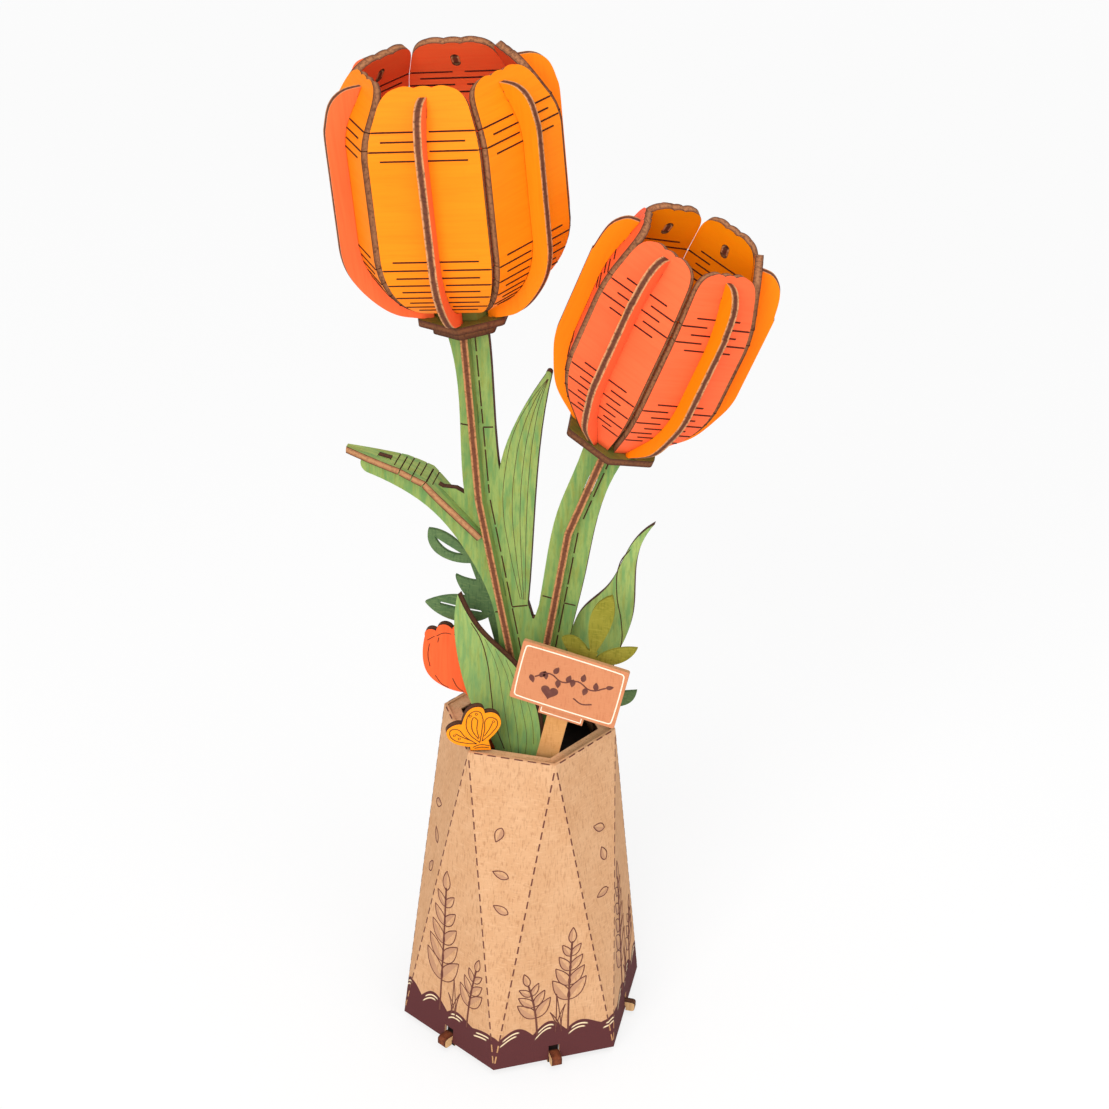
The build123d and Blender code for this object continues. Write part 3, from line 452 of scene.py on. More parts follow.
def dress(node, depth, grain, faces, bevel=SOFT, bare_below=None):
    """A copy of a node with its own material on each face of the sheet and on its cut edges.

    depth gives each point's place through the sheet from 0 to 1, and grain its place across and along
    the wood's fibres. faces holds the materials of the two sides and of the edges, and then of what lies
    below the height bare_below.
    """
    source = NODES[node]
    mesh = source.data.copy()
    mesh.name = node + "_look"
    mesh.materials.clear()
    for mat in faces:
        mesh.materials.append(mat)
    work = bmesh.new()
    work.from_mesh(mesh)
    bmesh.ops.remove_doubles(work, verts=work.verts, dist=0.000002)
    if bare_below:
        whole = work.verts[:] + work.edges[:] + work.faces[:]
        bmesh.ops.bisect_plane(work, geom=whole, plane_co=(0, 0, bare_below * MM), plane_no=(0, 0, 1))
    for layer in list(work.loops.layers.uv.values()):
        work.loops.layers.uv.remove(layer)
    points = np.array([v.co for v in work.verts]) / MM
    through = np.clip(depth(points), 0, 1)
    fibres = grain(points) * MM
    ply = work.verts.layers.float.new("ply")
    uv = work.loops.layers.uv.new("grain")
    work.verts.ensure_lookup_table()
    work.verts.index_update()
    for vert in work.verts:
        vert[ply] = through[vert.index]
    for face in work.faces:
        own = [through[v.index] for v in face.verts]
        if max(own) < FACE_SHARE:
            face.material_index = SIDE_ONE
        elif min(own) > 1 - FACE_SHARE:
            face.material_index = SIDE_TWO
        else:
            face.material_index = CUT_EDGE
        low = bare_below and face.calc_center_median().z < bare_below * MM
        if low and face.material_index != CUT_EDGE:
            face.material_index = BARE_SIDE
        for loop in face.loops:
            loop[uv].uv = fibres[loop.vert.index]
    paired = [edge for edge in work.edges if len(edge.link_faces) == 2]
    inner = [edge for edge in paired if all(face.material_index != CUT_EDGE for face in edge.link_faces)]
    bmesh.ops.dissolve_limit(work, angle_limit=0.001, verts=[], edges=inner, delimit={"MATERIAL"})
    for face in work.faces:
        face.smooth = True
    work.to_mesh(mesh)
    work.free()
    mesh.set_sharp_from_angle(angle=math.radians(25))
    piece = add_object(node + "_look", mesh)
    if bevel:
        soft = piece.modifiers.new("soft_edges", "BEVEL")
        soft.width = bevel * MM
        soft.segments = 2
        soft.limit_method = "ANGLE"
        soft.angle_limit = math.radians(50)
        soft.harden_normals = True
    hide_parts(node)
    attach(piece, source["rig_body"])
    return piece


def flat_depth(normal):
    normal = np.array(normal)

    def depth(points):
        along = points @ normal
        return (along - along.min()) / (along.max() - along.min())

    return depth


def plane_grain(across, along):
    return lambda points: np.stack([points @ np.array(across), points @ np.array(along)], 1)


def path_place(path, flat):
    """Signed distance from a path, positive on its left hand side, and length along it."""
    best = np.full(len(flat), 1e9)
    side = np.zeros(len(flat))
    length = np.zeros(len(flat))
    done = 0.0
    for start, end in zip(np.array(path)[:-1], np.array(path)[1:]):
        run = np.linalg.norm(end - start)
        way = (end - start) / run
        rel = flat - start
        share = np.clip(rel @ way, 0, run)
        off = np.linalg.norm(rel - share[:, None] * way, axis=1)
        cross = way[0] * rel[:, 1] - way[1] * rel[:, 0]
        near = off < best - 1e-6
        best[near] = off[near]
        side[near] = np.sign(cross[near]) * off[near]
        length[near] = done + share[near]
        done += run
    return side, length


def dress_flat(node, normal, across, along, faces, bevel=SOFT, bare_below=None):
    return dress(node, flat_depth(normal), plane_grain(across, along), faces, bevel, bare_below)


def upright(node, faces, bevel=SOFT, bare_below=None):
    """A sheet that stands upright, turned about Z where TURNED says so."""
    turn = math.radians(TURNED.get(node, 0.0))
    across = (math.cos(turn), math.sin(turn), 0)
    normal = (-math.sin(turn), math.cos(turn), 0)
    return dress_flat(node, normal, across, (0, 0, 1), faces, bevel, bare_below)


def bent(node, path, faces):
    """A strip on edge along a path in X and Z."""
    def depth(points):
        return path_place(path, points[:, (0, 2)])[0] / PLY + 0.5

    def grain(points):
        return np.stack([points[:, 1], path_place(path, points[:, (0, 2)])[1]], 1)

    return dress(node, depth, grain, faces)


# Drawn lines and printed patches
def add_mesh(name, verts, faces, mat, body):
    mesh = bpy.data.meshes.new(name)
    mesh.from_pydata([tuple(v) for v in verts], [], faces)
    mesh.materials.append(mat)
    piece = add_object(name, mesh)
    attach(piece, body)
    return piece


def lines(name, body, strokes, to_space, width, mat, closed=False):
    """Thin drawn lines, each half sunk into the sheet it is drawn on. to_space takes millimetres."""
    curve = bpy.data.curves.new(name, "CURVE")
    curve.dimensions = "3D"
    curve.bevel_depth = width / 2 * MM
    curve.bevel_resolution = 1
    curve.resolution_u = 5
    curve.use_fill_caps = True
    curve.materials.append(mat)
    for stroke in strokes:
        spline = curve.splines.new("BEZIER")
        spline.bezier_points.add(len(stroke) - 1)
        for knot, point in zip(spline.bezier_points, stroke):
            knot.co = to_space(*point)
            knot.handle_left_type = knot.handle_right_type = "AUTO"
        spline.use_cyclic_u = closed
    piece = add_object(name, curve)
    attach(piece, body)
    return piece


def fills(name, body, outlines, to_space, mat):
    """Flat printed patches."""
    verts = []
    faces = []
    for outline in outlines:
        faces.append(tuple(range(len(verts), len(verts) + len(outline))))
        verts += [to_space(*point) for point in outline]
    return add_mesh(name, verts, faces, mat, body)


def on_sheet(x, y, turn, front):
    """Flat places of an upright sheet, (across, over the rim), to points just under its front face."""
    angle = math.radians(turn)
    c, s = math.cos(angle), math.sin(angle)

    def to_space(w, h):
        return Vector((x + w * c + front * s, y + w * s - front * c, RIM + h)) * MM

    return to_space


def between(left, right, share):
    """A stroke that runs between two others, at a share of the way from left to right."""
    rest = 1 - share
    return [(rest * a + share * c, rest * b + share * d) for (a, b), (c, d) in zip(left, right)]


# Tulip heads
def petal_path(tulip):
    """Corners of a petal's outer face, as distance from the axis and height, from top to tip."""
    high, cuts, pitch, bend, length = tulip["up"]
    path = [np.array((tulip["body"], high))]
    for cut in range(1, cuts + 1):
        turn = math.radians(bend * cut / cuts)
        run = length if cut == cuts else pitch
        path.append(path[-1] + run * np.array((-math.sin(turn), math.cos(turn))))
    path.reverse()
    low, cuts, pitch, bend, length = tulip["low"]
    path.append(np.array((tulip["body"], low)))
    for cut in range(1, cuts + 1):
        turn = math.radians(bend * cut / cuts)
        run = length if cut == cuts else pitch
        path.append(path[-1] + run * np.array((-math.sin(turn), -math.cos(turn))))
    return path


def head_frame(tulip, k):
    tilt = Matrix.Rotation(math.radians(tulip["tilt"]), 3, "Y")
    return np.array(tilt @ Matrix.Rotation(math.radians(tulip["phase"] + SIDE_TURN * k), 3, "Z"))


def dress_petal(side, k, faces):
    tulip = TULIPS[side]
    path = petal_path(tulip)
    turn = head_frame(tulip, k)

    def local(points):
        return (points - np.array(tulip["at"])) @ turn

    def depth(points):
        return np.abs(path_place(path, local(points)[:, (0, 2)])[0]) / PLY

    def grain(points):
        own = local(points)
        return np.stack([path_place(path, own[:, (0, 2)])[1], own[:, 1] + 80 * k], 1)

    return dress(f"{side}_petal_{k + 1}", depth, grain, faces, SOFT_PETAL)


def dress_rib(side, k, faces):
    turn = head_frame(TULIPS[side], k)
    return dress_flat(f"{side}_rib_{k + 1}", turn[:, 1], turn[:, 0], turn[:, 2], faces)


def dress_head(side):
    """Petals, ribs and plates of one tulip. The right tulip's last rib is turned round."""
    inner, outer = (RED, YELLOW) if side == "left" else (ORANGE, CORAL)
    first, second = (YELLOW, RED) if side == "left" else (AMBER, CORAL)
    for k in range(SIDES):
        dress_petal(side, k, (outer, inner, PETAL_EDGE))
        flipped = side == "right" and k == SIDES - 1
        dress_rib(side, k, (second, first, RIB_EDGE) if flipped else (first, second, RIB_EDGE))
    axis = head_frame(TULIPS[side], 0)
    plates = [n for n in NODES if n.startswith(side) and ("calyx" in n or n.endswith(("_lock", "_seat")))]
    for node in plates:
        rim = CALYX if node.endswith("_seat") else WARM_EDGE
        dress_flat(node, axis[:, 2], axis[:, 0], axis[:, 1], (CALYX, CALYX, rim))


def hinge_lines(side):
    """The dark lines of the open hinge cuts, outside on every row and also inside on the upper rows: char
    beside each slit, and painted shade in the slit.

    A row is one cut in the middle, which takes middle_share of the width, or two cuts with twice the
    bridge between them, in turn. The first upper row is one in the middle where first_middle is 1.
    """
    tulip = TULIPS[side]
    path = petal_path(tulip)
    upper_rows = tulip["up"][1]
    last_row = min(len(path) - 2, upper_rows + tulip["open_cuts"])
    strokes = []
    for row in range(1, last_row + 1):
        upper = row <= upper_rows
        count = row - 1 + tulip["first_middle"] if upper else row - upper_rows
        way = (path[row + 1] - path[row]) / np.linalg.norm(path[row + 1] - path[row])
        inside = path[row][0] - PLY * abs(way[1])
        half = inside * math.tan(math.radians(SIDE_TURN / 2)) - PETAL_GAP - LINE_SHORT
        short = tulip["middle_share"] * half
        bridge = tulip["bridge"]
        runs = [(-short, short)] if count % 2 else [(-half, -bridge), (bridge, half)]
        corners = [path[row]]
        if upper:
            corners.append(path[row] + PLY * np.array((way[1], -way[0])))
        for a, t in corners:
            strokes += [[(a, low, t), (a, high, t)] for low, high in runs]
    for k in range(SIDES):
        turn = head_frame(tulip, k)

        def to_space(*point):
            return Vector(np.array(tulip["at"]) + turn @ np.array(point)) * MM

        lines(f"{side}_hinge_lines_{k + 1}", "bouquet", strokes, to_space, HINGE_LINE, CUT_CHAR_AND_SHADE)


# Leaves, stems, bud and butterfly
def blade_lines():
    """The dark lines of the left leaf's hinge cuts, from either side in turn: char beside each slit, and
    painted shade in the slit.
    """
    count, first, pitch, bridge = BLADE_CUTS
    path = np.array(BLADE)
    widest = max(half for x, half in BLADE_HALF)
    strokes = []
    for cut in range(count):
        place = first + cut * pitch
        for start, end in zip(path, path[1:]):
            run = np.linalg.norm(end - start)
            if place <= run:
                break
            place -= run
        way = (end - start) / run
        x, z = start + way * place + np.array((-way[1], way[0])) * FRONT
        half = np.interp(x, *zip(*BLADE_HALF)) - LINE_SHORT
        side = -1 if cut % 2 else 1
        ends = (max(-half, side * bridge - widest), min(half, side * bridge + widest))
        strokes.append([(x, y, z) for y in ends])
    lines("left_leaf_hinge_lines", "bouquet", strokes, lambda *point: Vector(point) * MM, BLADE_LINE, CUT_CHAR_AND_SHADE)


def leaf_veins():
    left = [(-3.0, 37.0), (-6.0, 50.0), (-8.2, 64.0), (-7.6, 76.0), (-5.6, 86.0), (-1.6, 95.0),
            (2.6, 101.6)]
    right = [(-1.4, 37.0), (-0.8, 50.0), (-0.2, 64.0), (0.2, 76.0), (0.8, 86.0), (1.6, 95.0),
             (2.9, 101.6)]
    strokes = [between(left, right, share) for share in (0.02, 0.32, 0.58, 0.8)]
    lines("middle_leaf_veins", "bouquet", strokes, on_sheet(0, 0, 0, FRONT), VEIN * 0.8, BURN_AND_SHADE)
    to_space = on_sheet(*FRONT_LEAF_AT, TURNED["front_leaf"], FRONT)
    main = [(-8.6, 30.0), (-5.9, 26.5), (-3.5, 19.6), (-2.1, 9.9), (-0.8, 1.2), (2.2, -6.0)]
    side = [[(-4.4, 26.6), (-0.8, 20.0), (1.4, 10.0), (3.2, 0.0), (4.6, -7.0)],
            [(-1.2, 24.6), (2.4, 18.0), (4.6, 9.0), (6.2, 0.0), (6.6, -7.0)],
            [(2.2, 22.4), (5.4, 15.6), (7.6, 8.0), (9.0, 0.0), (8.4, -7.0)],
            [(5.0, 20.4), (8.6, 12.6), (10.6, 5.6), (11.2, -1.0)]]
    lines("front_leaf_vein", "bouquet", [main], to_space, VEIN * 1.3, BURN_AND_SHADE)
    lines("front_leaf_side_veins", "bouquet", side, to_space, VEIN * 0.8, BURN_AND_SHADE)
    main = [(24.4, 53.0), (21.9, 48.6), (21.4, 39.3), (23.0, 30.3), (23.2, 23.8), (18.0, 8.0)]
    lines("right_leaf_vein", "bouquet", [main], on_sheet(*RIGHT_LEAF_AT, 0, FRONT), VEIN * 1.1, BURN_AND_SHADE)


def stem_cuts():
    """A broken dark line of painted shade beside each stem's spine, where it meets the board, and the cuts
    from it to the stem's edges.
    """
    random.seed(3)
    to_space = on_sheet(0, 0, 0, FRONT)
    seam_shades = []
    for path in SPINES.values():
        for (x0, z0), (x1, z1) in zip(path, path[1:]):
            length = math.hypot(x1 - x0, z1 - z0)
            place = 1.0
            while place < length - 3:
                end = min(place + random.uniform(*SEAM_SHADE_RUN), length - 1)
                seam_shades.append([(x0 + (x1 - x0) * at / length + SEAM_SHADE_OFF, z0 + (z1 - z0) * at / length - RIM)
                              for at in (place, end)])
                place = end + random.uniform(*SEAM_SHADE_GAP)
    # Painted shade: a broken dark line where each spine meets the board
    lines("stem_seam_shade", "bouquet", seam_shades, to_space, SEAM_SHADE_LINE, BURN_AND_SHADE)
    strokes = [[(-19.4, 86.2), (-16.9, 86.0)], [(-13.5, 86.0), (-10.9, 86.4)],
               [(-9.6, 32.0), (-7.9, 32.4)], [(-5.1, 34.3), (-1.0, 35.4)],
               [(2.9, 39.0), (5.4, 38.6)], [(8.6, 37.7), (11.7, 37.4)]]
    lines("stem_cut_lines", "bouquet", strokes, to_space, CUT_LINE, BURN_AND_SHADE)


def bud_lines():
    strokes = [[(-28.6, 20.4), (-26.6, 22.0)], [(-26.0, 22.2), (-24.0, 23.4), (-22.0, 23.4)],
               [(-21.2, 23.4), (-18.6, 23.6), (-16.6, 22.2)],
               [(-28.0, 19.4), (-28.4, 15.6), (-27.8, 12.2)], [(-26.4, 9.6), (-24.4, 7.0), (-22.6, 6.2)],
               [(-21.6, 9.4), (-20.2, 6.8), (-18.6, 5.6)], [(-25.4, 21.8), (-25.7, 20.2)],
               [(-16.0, 18.0), (-15.6, 13.0), (-16.4, 9.0)]]
    strokes = [[(w, h - 1.7) for w, h in stroke] for stroke in strokes]
    lines("bud_lines", "bouquet", strokes, on_sheet(*BUD_AT, 0, FRONT), VEIN, BURN_AND_SHADE)


def butterfly_lines():
    to_space = on_sheet(*BUTTERFLY_AT, TURNED["butterfly"], FRONT)
    strokes = [
        [(3.4, 2.4), (0.6, 5.4), (-0.2, 9.2), (1.2, 12.0),
         (3.0, 12.2), (4.0, 10.6), (3.9, 6.2), (3.4, 2.4)],
        [(2.6, 2.0), (-0.6, 4.6), (-2.4, 6.8), (-4.2, 6.7),
         (-4.5, 5.4), (-3.6, 3.8), (-0.6, 2.5), (2.6, 2.0)],
        [(4.0, 2.8), (4.6, 6.2), (5.2, 9.9), (7.2, 9.8), (8.0, 8.2), (6.6, 5.4), (4.0, 2.8)],
        [(3.0, 3.6), (1.4, 6.4), (1.2, 9.4)],
        [(3.2, 3.8), (2.6, 6.6), (2.8, 9.4)],
        [(1.2, 9.4), (1.8, 10.4), (2.8, 9.4)],
        [(4.6, 4.4), (6.0, 6.8), (6.6, 8.4)],
        [(1.4, 3.0), (-1.6, 4.6), (-3.0, 5.6)],
        [(1.6, 1.0), (3.6, 1.7), (6.0, 1.2)],
        [(2.0, 0.6), (3.8, 0.9), (5.8, 0.6)],
    ]
    lines("butterfly_lines", "bouquet", strokes, to_space, VEIN, BURN_AND_SHADE)
    quarters = [n * math.pi / 2 for n in range(4)]
    rings = []
    for w, h in [(0.8, 10.9), (2.4, 11.4), (6.9, 8.8), (-3.3, 5.0), (-2.0, 3.9)]:
        rings.append([(w + SPOT_R * math.cos(turn), h + SPOT_R * math.sin(turn)) for turn in quarters])
    lines("butterfly_spots", "bouquet", rings, to_space, SPOT_LINE, BURN_AND_SHADE, True)


# Vase
def ring(radius, first, height):
    """Corners of a level hexagon about the axis, from the angle of its first corner."""
    turns = [math.radians(SIDE_TURN * k + first) for k in range(SIDES)]
    return [Vector((radius * math.cos(turn), radius * math.sin(turn), height)) * MM for turn in turns]


def wall_corners():
    return ring(BASE_R, SIDE_TURN / 2, FLOOR_GAP), ring(RIM_R, 0, RIM)


def wall_panels():
    """The sleeve's triangles: the six that stand on its foot, and the six that hang from its rim."""
    low, high = wall_corners()
    standing = [(low[k - 1], low[k], high[k]) for k in range(SIDES)]
    hanging = [(high[(k + 1) % SIDES], high[k], low[k]) for k in range(SIDES)]
    return standing, hanging


def panel_normal(panel):
    a, b, c = panel
    return (b - a).cross(c - a).normalized()


def dress_vase():
    standing, hanging = wall_panels()
    panels = standing + hanging
    normals = np.array([panel_normal(p) for p in panels])
    offsets = np.array([panel_normal(p).dot(p[0]) for p in panels]) / MM

    def depth(points):
        return np.clip((offsets - points @ normals.T).min(1) / CARD, 0, 1)

    piece = dress("vase_sleeve", depth, plane_grain((1, 0, 0), (0, 0, 1)), (KRAFT_PRINT, KRAFT, KRAFT), 0)
    mesh = piece.data
    wrap = mesh.uv_layers.new(name="wrap")
    for face in mesh.polygons:
        middle = math.atan2(face.center.y, face.center.x)
        for loop in face.loop_indices:
            point = mesh.vertices[mesh.loops[loop].vertex_index].co
            turn = math.atan2(point.y, point.x)
            turn += 2 * math.pi * round((middle - turn) / (2 * math.pi))
            wrap.data[loop].uv = (turn / (2 * math.pi), point.z - FLOOR_GAP * MM)


def fold_dashes():
    """Dashes along every fold of the sleeve, lying on both panels that meet there, and pale on the band."""
    low, high = wall_corners()
    standing, hanging = ([panel_normal(panel) for panel in panels] for panels in wall_panels())
    folds = []
    for k in range(SIDES):
        after = (k + 1) % SIDES
        folds.append((low[k], high[k], standing[k], hanging[k]))
        folds.append((high[after], low[k], standing[after], hanging[k]))
        folds.append((high[k], high[after], hanging[k], Vector((0, 0, 1))))
    shapes = {"dark": ([], []), "pale": ([], [])}
    for start, end, one, two in folds:
        way = (end - start).normalized()
        length = (end - start).length / MM
        count = int(length / (DASH + DASH_GAP))
        first = (length - count * (DASH + DASH_GAP) + DASH_GAP) / 2
        ridge = (one + two).normalized()
        lift = ridge * DASH_LIFT * MM
        sides = []
        for face in (one, two):
            away = way.cross(face)
            sides.append(away if away.dot(ridge) < 0 else -away)
        for n in range(count):
            a = start + way * (first + n * (DASH + DASH_GAP)) * MM
            b = a + way * DASH * MM
            on_band = (a.z + b.z) / 2 < (FLOOR_GAP + BAND_LOW) * MM
            verts, quads = shapes["pale" if on_band else "dark"]
            base = len(verts)
            for face, away in zip((one, two), sides):
                out = away * DASH_HALF * MM + face * DASH_LIFT * MM
                verts += [a + out, b + out]
            verts += [a + lift, b + lift]
            quads += [(base, base + 1, base + 5, base + 4), (base + 4, base + 5, base + 3, base + 2)]
    add_mesh("vase_fold_dashes", *shapes["dark"], INK, "bouquet")
    add_mesh("vase_fold_wear", *shapes["pale"], CARD_EDGE, "bouquet")


# Motifs of the print
def rounded(middle, half, radius):
    """Corners of a rounded rectangle, as one closed stroke."""
    points = []
    for sx, sy in ((1, 1), (-1, 1), (-1, -1), (1, -1)):
        x, y = middle[0] + sx * half[0], middle[1] + sy * half[1]
        near = [(x, y - sy * radius), (x - sx * radius * 0.3, y - sy * radius * 0.3), (x - sx * radius, y)]
        points += near if sx * sy > 0 else near[::-1]
    return points


def heart(middle, size):
    points = []
    count = 48
    for n in range(count):
        t = 2 * math.pi * n / count
        x = 16 * math.sin(t) ** 3
        y = 13 * math.cos(t) - 5 * math.cos(2 * t) - 2 * math.cos(3 * t) - math.cos(4 * t)
        points.append((middle[0] + x * size / 32, middle[1] + y * size / 32))
    return points


def almond(x, y, angle, length, width):
    """A leaf's outline, from its stalk to its tip and back."""
    c, s = math.cos(angle), math.sin(angle)
    flat = LEAF_SIDE + [(a, -b) for a, b in LEAF_SIDE[::-1]]
    return [(x + c * a * length - s * b * width, y + s * a * length + c * b * width) for a, b in flat]


def leaf_sides(leaf):
    """A leaf's outline as two strokes that meet at its tip and its foot."""
    half = len(leaf) // 2
    return [leaf[:half], leaf[half:]]


def all_sides(leaves):
    return [side for leaf in leaves for side in leaf_sides(leaf)]


def first_sides(leaves):
    return [leaf_sides(leaf)[0] for leaf in leaves]


def stalk_point(base, height, bend, share):
    return (base[0] + bend * share * share, base[1] + height * share)


def sprig(base, height, bend, pairs, leaf, spread, start):
    """A stalk with paired leaves that shrink towards its tip."""
    stalk = [stalk_point(base, height, bend, n / 6) for n in range(7)]
    leaves = []
    for n in range(pairs):
        share = start + (1 - start) * n / pairs
        x, y = stalk_point(base, height, bend, share)
        size = leaf * (1 - 0.6 * n / pairs)
        lean = math.atan2(height, 2 * bend * share)
        for way in (1, -1):
            leaves.append(almond(x, y, lean + way * spread, size, size * 0.42))
    tip = stalk_point(base, height, bend, 0.98)
    leaves.append(almond(*tip, math.atan2(height, 2 * bend), leaf * 0.6, leaf * 0.25))
    return stalk, leaves


def blades(base, heights, bends):
    """Grass blades that rise from one place, each as one side up to its tip and the other side down."""
    steps = (0, 0.2, 0.4, 0.6, 0.8, 1)
    made = []
    for height, bend in zip(heights, bends):
        sides = []
        for half in (-TUFT_HALF, TUFT_HALF):
            sides.append([(base[0] + half * (1 - t) + bend * t * t, base[1] + height * t) for t in steps])
        made.append(sides[0] + sides[1][::-1])
    return made


# Sign
def on_sign(front):
    """Flat places of the leaning sign, from its foot at the rim, to space."""
    x, lean = SIGN_AT[0], math.radians(SIGN_AT[1])
    c, s = math.cos(lean), math.sin(lean)

    def to_space(u, v):
        return Vector((x + u * c + v * s, front, RIM - u * s + v * c)) * MM

    return to_space


def sign_print():
    """A cream border, and a vine, a twig and a heart in brown."""
    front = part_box("sign_board")[0].y / MM
    drawn = on_sign(front + SIGN_SINK)
    filled = on_sign(front - PATCH_LIFT)
    x, y = SIGN_MIDDLE
    half = (SIGN_SIZE[0] / 2 - 1.1, SIGN_SIZE[1] / 2 - 1.1)
    lines("sign_border", "sign", [rounded(SIGN_MIDDLE, half, 0.8)], drawn, BORDER_LINE, CREAM, True)
    fills("sign_heart", "sign", [heart((x - 4.4, y - 4.0), 4.6)], filled, INK)
    vine = [(x - 9.0, y - 0.6), (x - 5.6, y + 1.6), (x - 1.8, y + 0.2),
            (x + 2.0, y + 1.8), (x + 5.8, y + 0.4), (x + 9.4, y + 2.4)]
    twig = [(x + 2.0, y - 3.6), (x + 4.4, y - 4.6), (x + 7.0, y - 3.8)]
    lines("sign_vine", "sign", [vine, twig], drawn, VINE_LINE, INK)
    leaves = []
    for n, (w, h) in enumerate(vine[:-1]):
        for way in (1, -1):
            leaves.append(almond(w + 1.2 * way, h + 0.3, way * (1.1 + 0.15 * n), 2.6, 1.5))
    leaves.append(almond(*vine[-1], 0.5, 2.2, 1.3))
    fills("sign_leaves", "sign", leaves, filled, INK)
    bar_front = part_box("sign_crossbar")[0].y / MM
    top = SIGN_MIDDLE[1] - SIGN_SIZE[1] / 2
    low = top - BAR_SIZE[1] + 0.7
    high = top - 0.4
    reach = BAR_SIZE[0] / 2 - 0.6
    stroke = [(x - reach, high), (x - reach, low), (x + reach, low), (x + reach, high)]
    for n, pair in enumerate(zip(stroke, stroke[1:])):
        lines(f"sign_bar_line_{n}", "sign", [list(pair)], on_sign(bar_front + SIGN_SINK), THIN_LINE, CREAM)


# Vase print: sprigs and fallen leaves drawn in brown line
def on_panel(panel, lift):
    """Flat places on a panel, from the middle of its lower side or its lowest point, to space."""
    a, b, c = panel
    normal = panel_normal(panel)
    across = (b - a).normalized()
    up = normal.cross(across)
    if up.z < 0:
        across, up = -across, -up
    foot = (a + b) / 2 if a.z < c.z else c

    def to_space(u, v):
        return foot + (across * u + up * v) * MM + normal * lift * MM

    return to_space


def vase_print():
    random.seed(7)
    for k, (low, high) in enumerate(zip(*wall_panels())):
        stalks = []
        leaves = []
        for design in SPRIGS[k % 2]:
            stalk, own = sprig(*design)
            stalks.append(stalk)
            leaves += own
        drawn = on_panel(low, -VASE_SINK)
        lines(f"vase_sprig_stalks_{k}", "bouquet", stalks, drawn, STALK_LINE, INK)
        lines(f"vase_sprig_leaves_{k}", "bouquet", all_sides(leaves + blades(*TUFT)), drawn, THIN_LINE, INK)
        fills(f"vase_sprig_shades_{k}", "bouquet", first_sides(leaves), on_panel(low, PATCH_LIFT), SHADE)
        fallen = []
        for n in range(FALLEN_COUNT):
            y = FALLEN_LOW + FALLEN_PITCH * n + random.uniform(-FALLEN_STRAY, FALLEN_STRAY)
            room = RIM_R / 2 * y / VASE_H - FALLEN
            turn = random.uniform(0, 2 * math.pi)
            x = random.uniform(-room, room) - FALLEN / 2 * math.cos(turn)
            fallen.append(almond(x, y - FALLEN / 2 * math.sin(turn), turn, FALLEN, FALLEN / 2))
        drawn = on_panel(high, -VASE_SINK)
        lines(f"vase_fallen_leaves_{k}", "bouquet", all_sides(fallen), drawn, THIN_LINE, INK)
        fills(f"vase_fallen_shades_{k}", "bouquet", first_sides(fallen), on_panel(high, PATCH_LIFT), SHADE)


# Stage
def camera():
    data = bpy.data.cameras.new("camera")
    data.sensor_width = SENSOR
    data.lens = SENSOR * FOCAL / PICTURE
    data.clip_start = 0.01
    data.clip_end = 50
    azimuth, height, roll = (math.radians(v) for v in CAMERA_TURN)
    level = math.cos(height)
    back = Vector((math.sin(azimuth) * level, -math.cos(azimuth) * level, math.sin(height)))
    right = Vector((math.cos(azimuth), math.sin(azimuth), 0))
    up = back.cross(right)
    turned_right = right * math.cos(roll) + up * math.sin(roll)
    turned_up = up * math.cos(roll) - right * math.sin(roll)
    made = add_object("camera", data)
    made.matrix_world = Matrix((turned_right, turned_up, back)).transposed().to_4x4()
    made.location = Vector(CAMERA_AT) * MM
    bpy.context.scene.camera = made


def lamp(name, place, size, power):
    data = bpy.data.lights.new(name, "AREA")
    data.size = size
    data.energy = power
    made = add_object(name, data)
    made.location = place
    made.rotation_euler = (Vector(LAMP_TARGET) - Vector(place)).to_track_quat("-Z", "Y").to_euler()


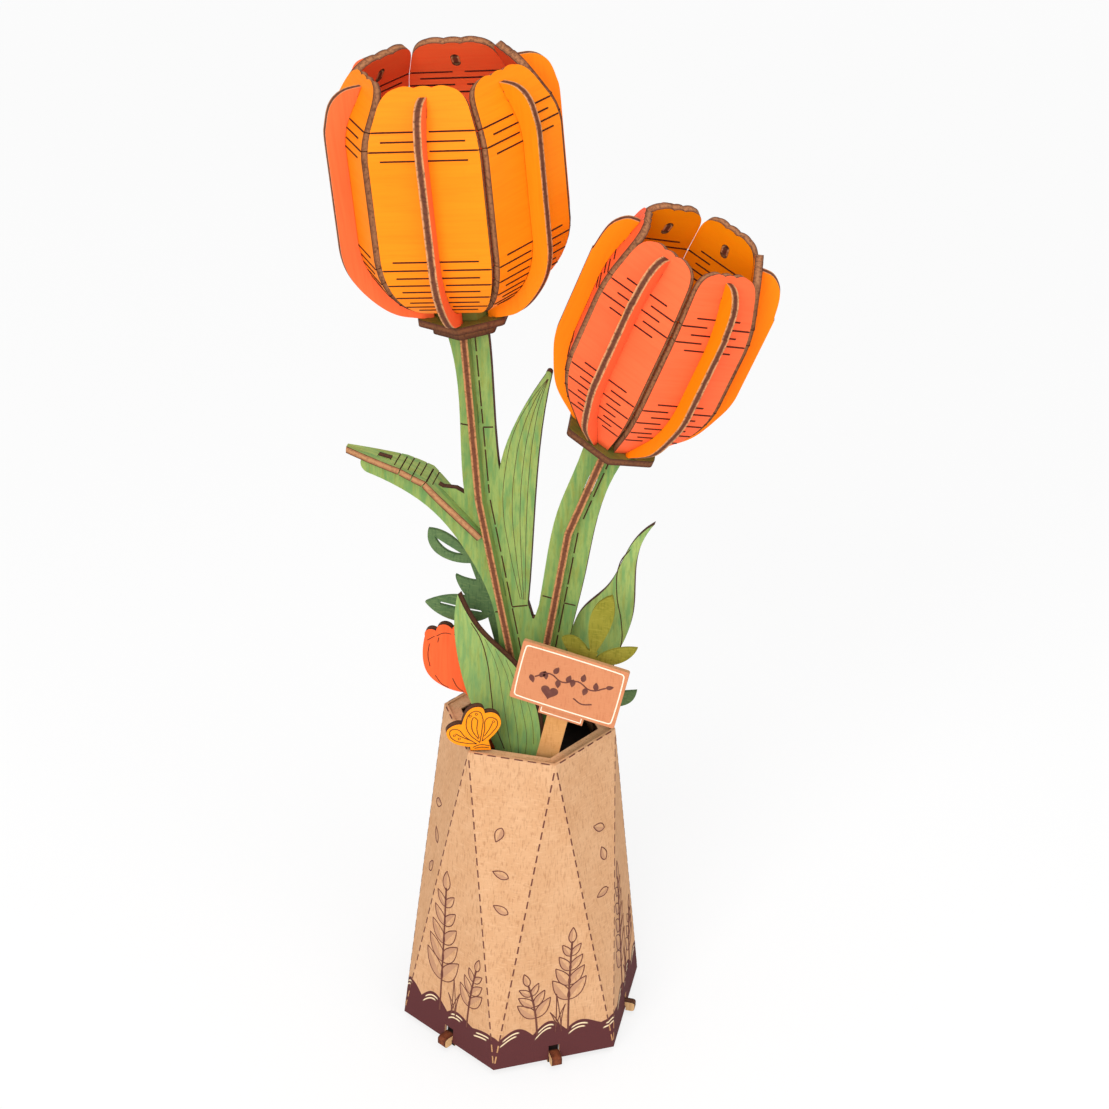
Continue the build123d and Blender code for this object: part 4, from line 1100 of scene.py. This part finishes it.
def floor():
    """A pale floor that looks white, more so far away, and dark where it lies inside the vase."""
    s = Shader("pale_floor", 0.9, 0.1)
    patch = s.noise(s.place(), (3, 3, 3), 2)
    s.colour(s.mix(s.step(patch, 0.3, 0.7), (0.93, 0.93, 0.93, 1), (0.9, 0.9, 0.9, 1)))
    glow = s.node("Emission", {"Color": (1, 1, 1, 1), "Strength": 1.0})
    path = s.node("LightPath", {})
    seen = s.maths("ADD", path.outputs["Is Camera Ray"], path.outputs["Is Glossy Ray"])
    seen = s.maths("MINIMUM", s.maths("ADD", seen, path.outputs["Is Transmission Ray"]), 1.0)
    reach = s.reach(s.place())
    seen = s.maths("MULTIPLY", seen, s.step(reach, *FLOOR_DARK))
    far = s.node("MapRange", {"Value": reach, "From Min": GLOW_AT[0], "From Max": GLOW_AT[1],
                              "To Min": GLOW[0], "To Max": GLOW[1]})
    share = s.maths("MULTIPLY", seen, far.outputs[0])
    both = s.node("MixShader", {0: share, 1: s.bsdf.outputs[0], 2: glow.outputs[0]})
    s.tree.links.new(both.outputs[0], s.tree.nodes["Material Output"].inputs[0])
    mesh = bpy.data.meshes.new("floor")
    corners = [(x * FLOOR_HALF, y * FLOOR_HALF, 0) for x, y in ((-1, -1), (1, -1), (1, 1), (-1, 1))]
    mesh.from_pydata(corners, [], [(0, 1, 2, 3)])
    mesh.materials.append(s.mat)
    made = add_object("floor", mesh)


def light():
    """A white world that lights by WORLD_LIGHT and looks white to the camera, and the lamps."""
    world = bpy.data.worlds.new("studio")
    bpy.context.scene.world = world
    world.use_nodes = True
    tree = world.node_tree
    back = tree.nodes["Background"]
    back.inputs["Color"].default_value = (1, 1, 1, 1)
    seen = tree.nodes.new("ShaderNodeMath")
    seen.operation = "MAXIMUM"
    seen.inputs[1].default_value = WORLD_LIGHT
    tree.links.new(tree.nodes.new("ShaderNodeLightPath").outputs["Is Camera Ray"], seen.inputs[0])
    tree.links.new(seen.outputs[0], back.inputs["Strength"])
    for settings in LAMPS:
        lamp(*settings)
    bpy.context.scene.view_settings.view_transform = "Standard"


# Everything in its place
camera()
floor()
light()
for side in TULIPS:
    dress_head(side)
    for face in ("front", "back"):
        bent(f"{side}_stem_spine_{face}", SPINES[side], (STEM_GREEN, STEM_GREEN, SPINE_EDGE))
    hinge_lines(side)
bent("left_leaf_blade", BLADE, (GREEN, GREEN, PALE_EDGE))
upright("stem_board", (STEM_GREEN, STEM_GREEN, EDGE, BARE), SOFT_THIN, SOIL_TOP)
for node, mat in (("front_leaf", GREEN), ("right_leaf", GREEN), ("bud", BUD), ("butterfly", WING)):
    upright(node, (mat, mat, EDGE))
for node, mat in (("left_sprig", DARK_CARD), ("right_sprig", DARK_CARD), ("olive_sprig", OLIVE_CARD)):
    upright(node, (mat, mat, mat), SOFT_THIN)
for node in ("base_frame_left", "base_frame_right"):
    upright(node, (BARE, BARE, PEG_EDGE_INNER_SHADE))
for node, mat in (("sign_board", SIGN_CARD), ("sign_crossbar", SIGN_CARD), ("sign_stake", STAKE_CARD)):
    upright(node, (mat, mat, CARD_EDGE), SOFT_SIGN)
dress_flat("soil_plate", (0, 0, 1), (1, 0, 0), (0, 1, 0), (SOIL, SOIL, SOIL))
dress_vase()
fold_dashes()
blade_lines()
leaf_veins()
stem_cuts()
bud_lines()
butterfly_lines()
sign_print()
vase_print()
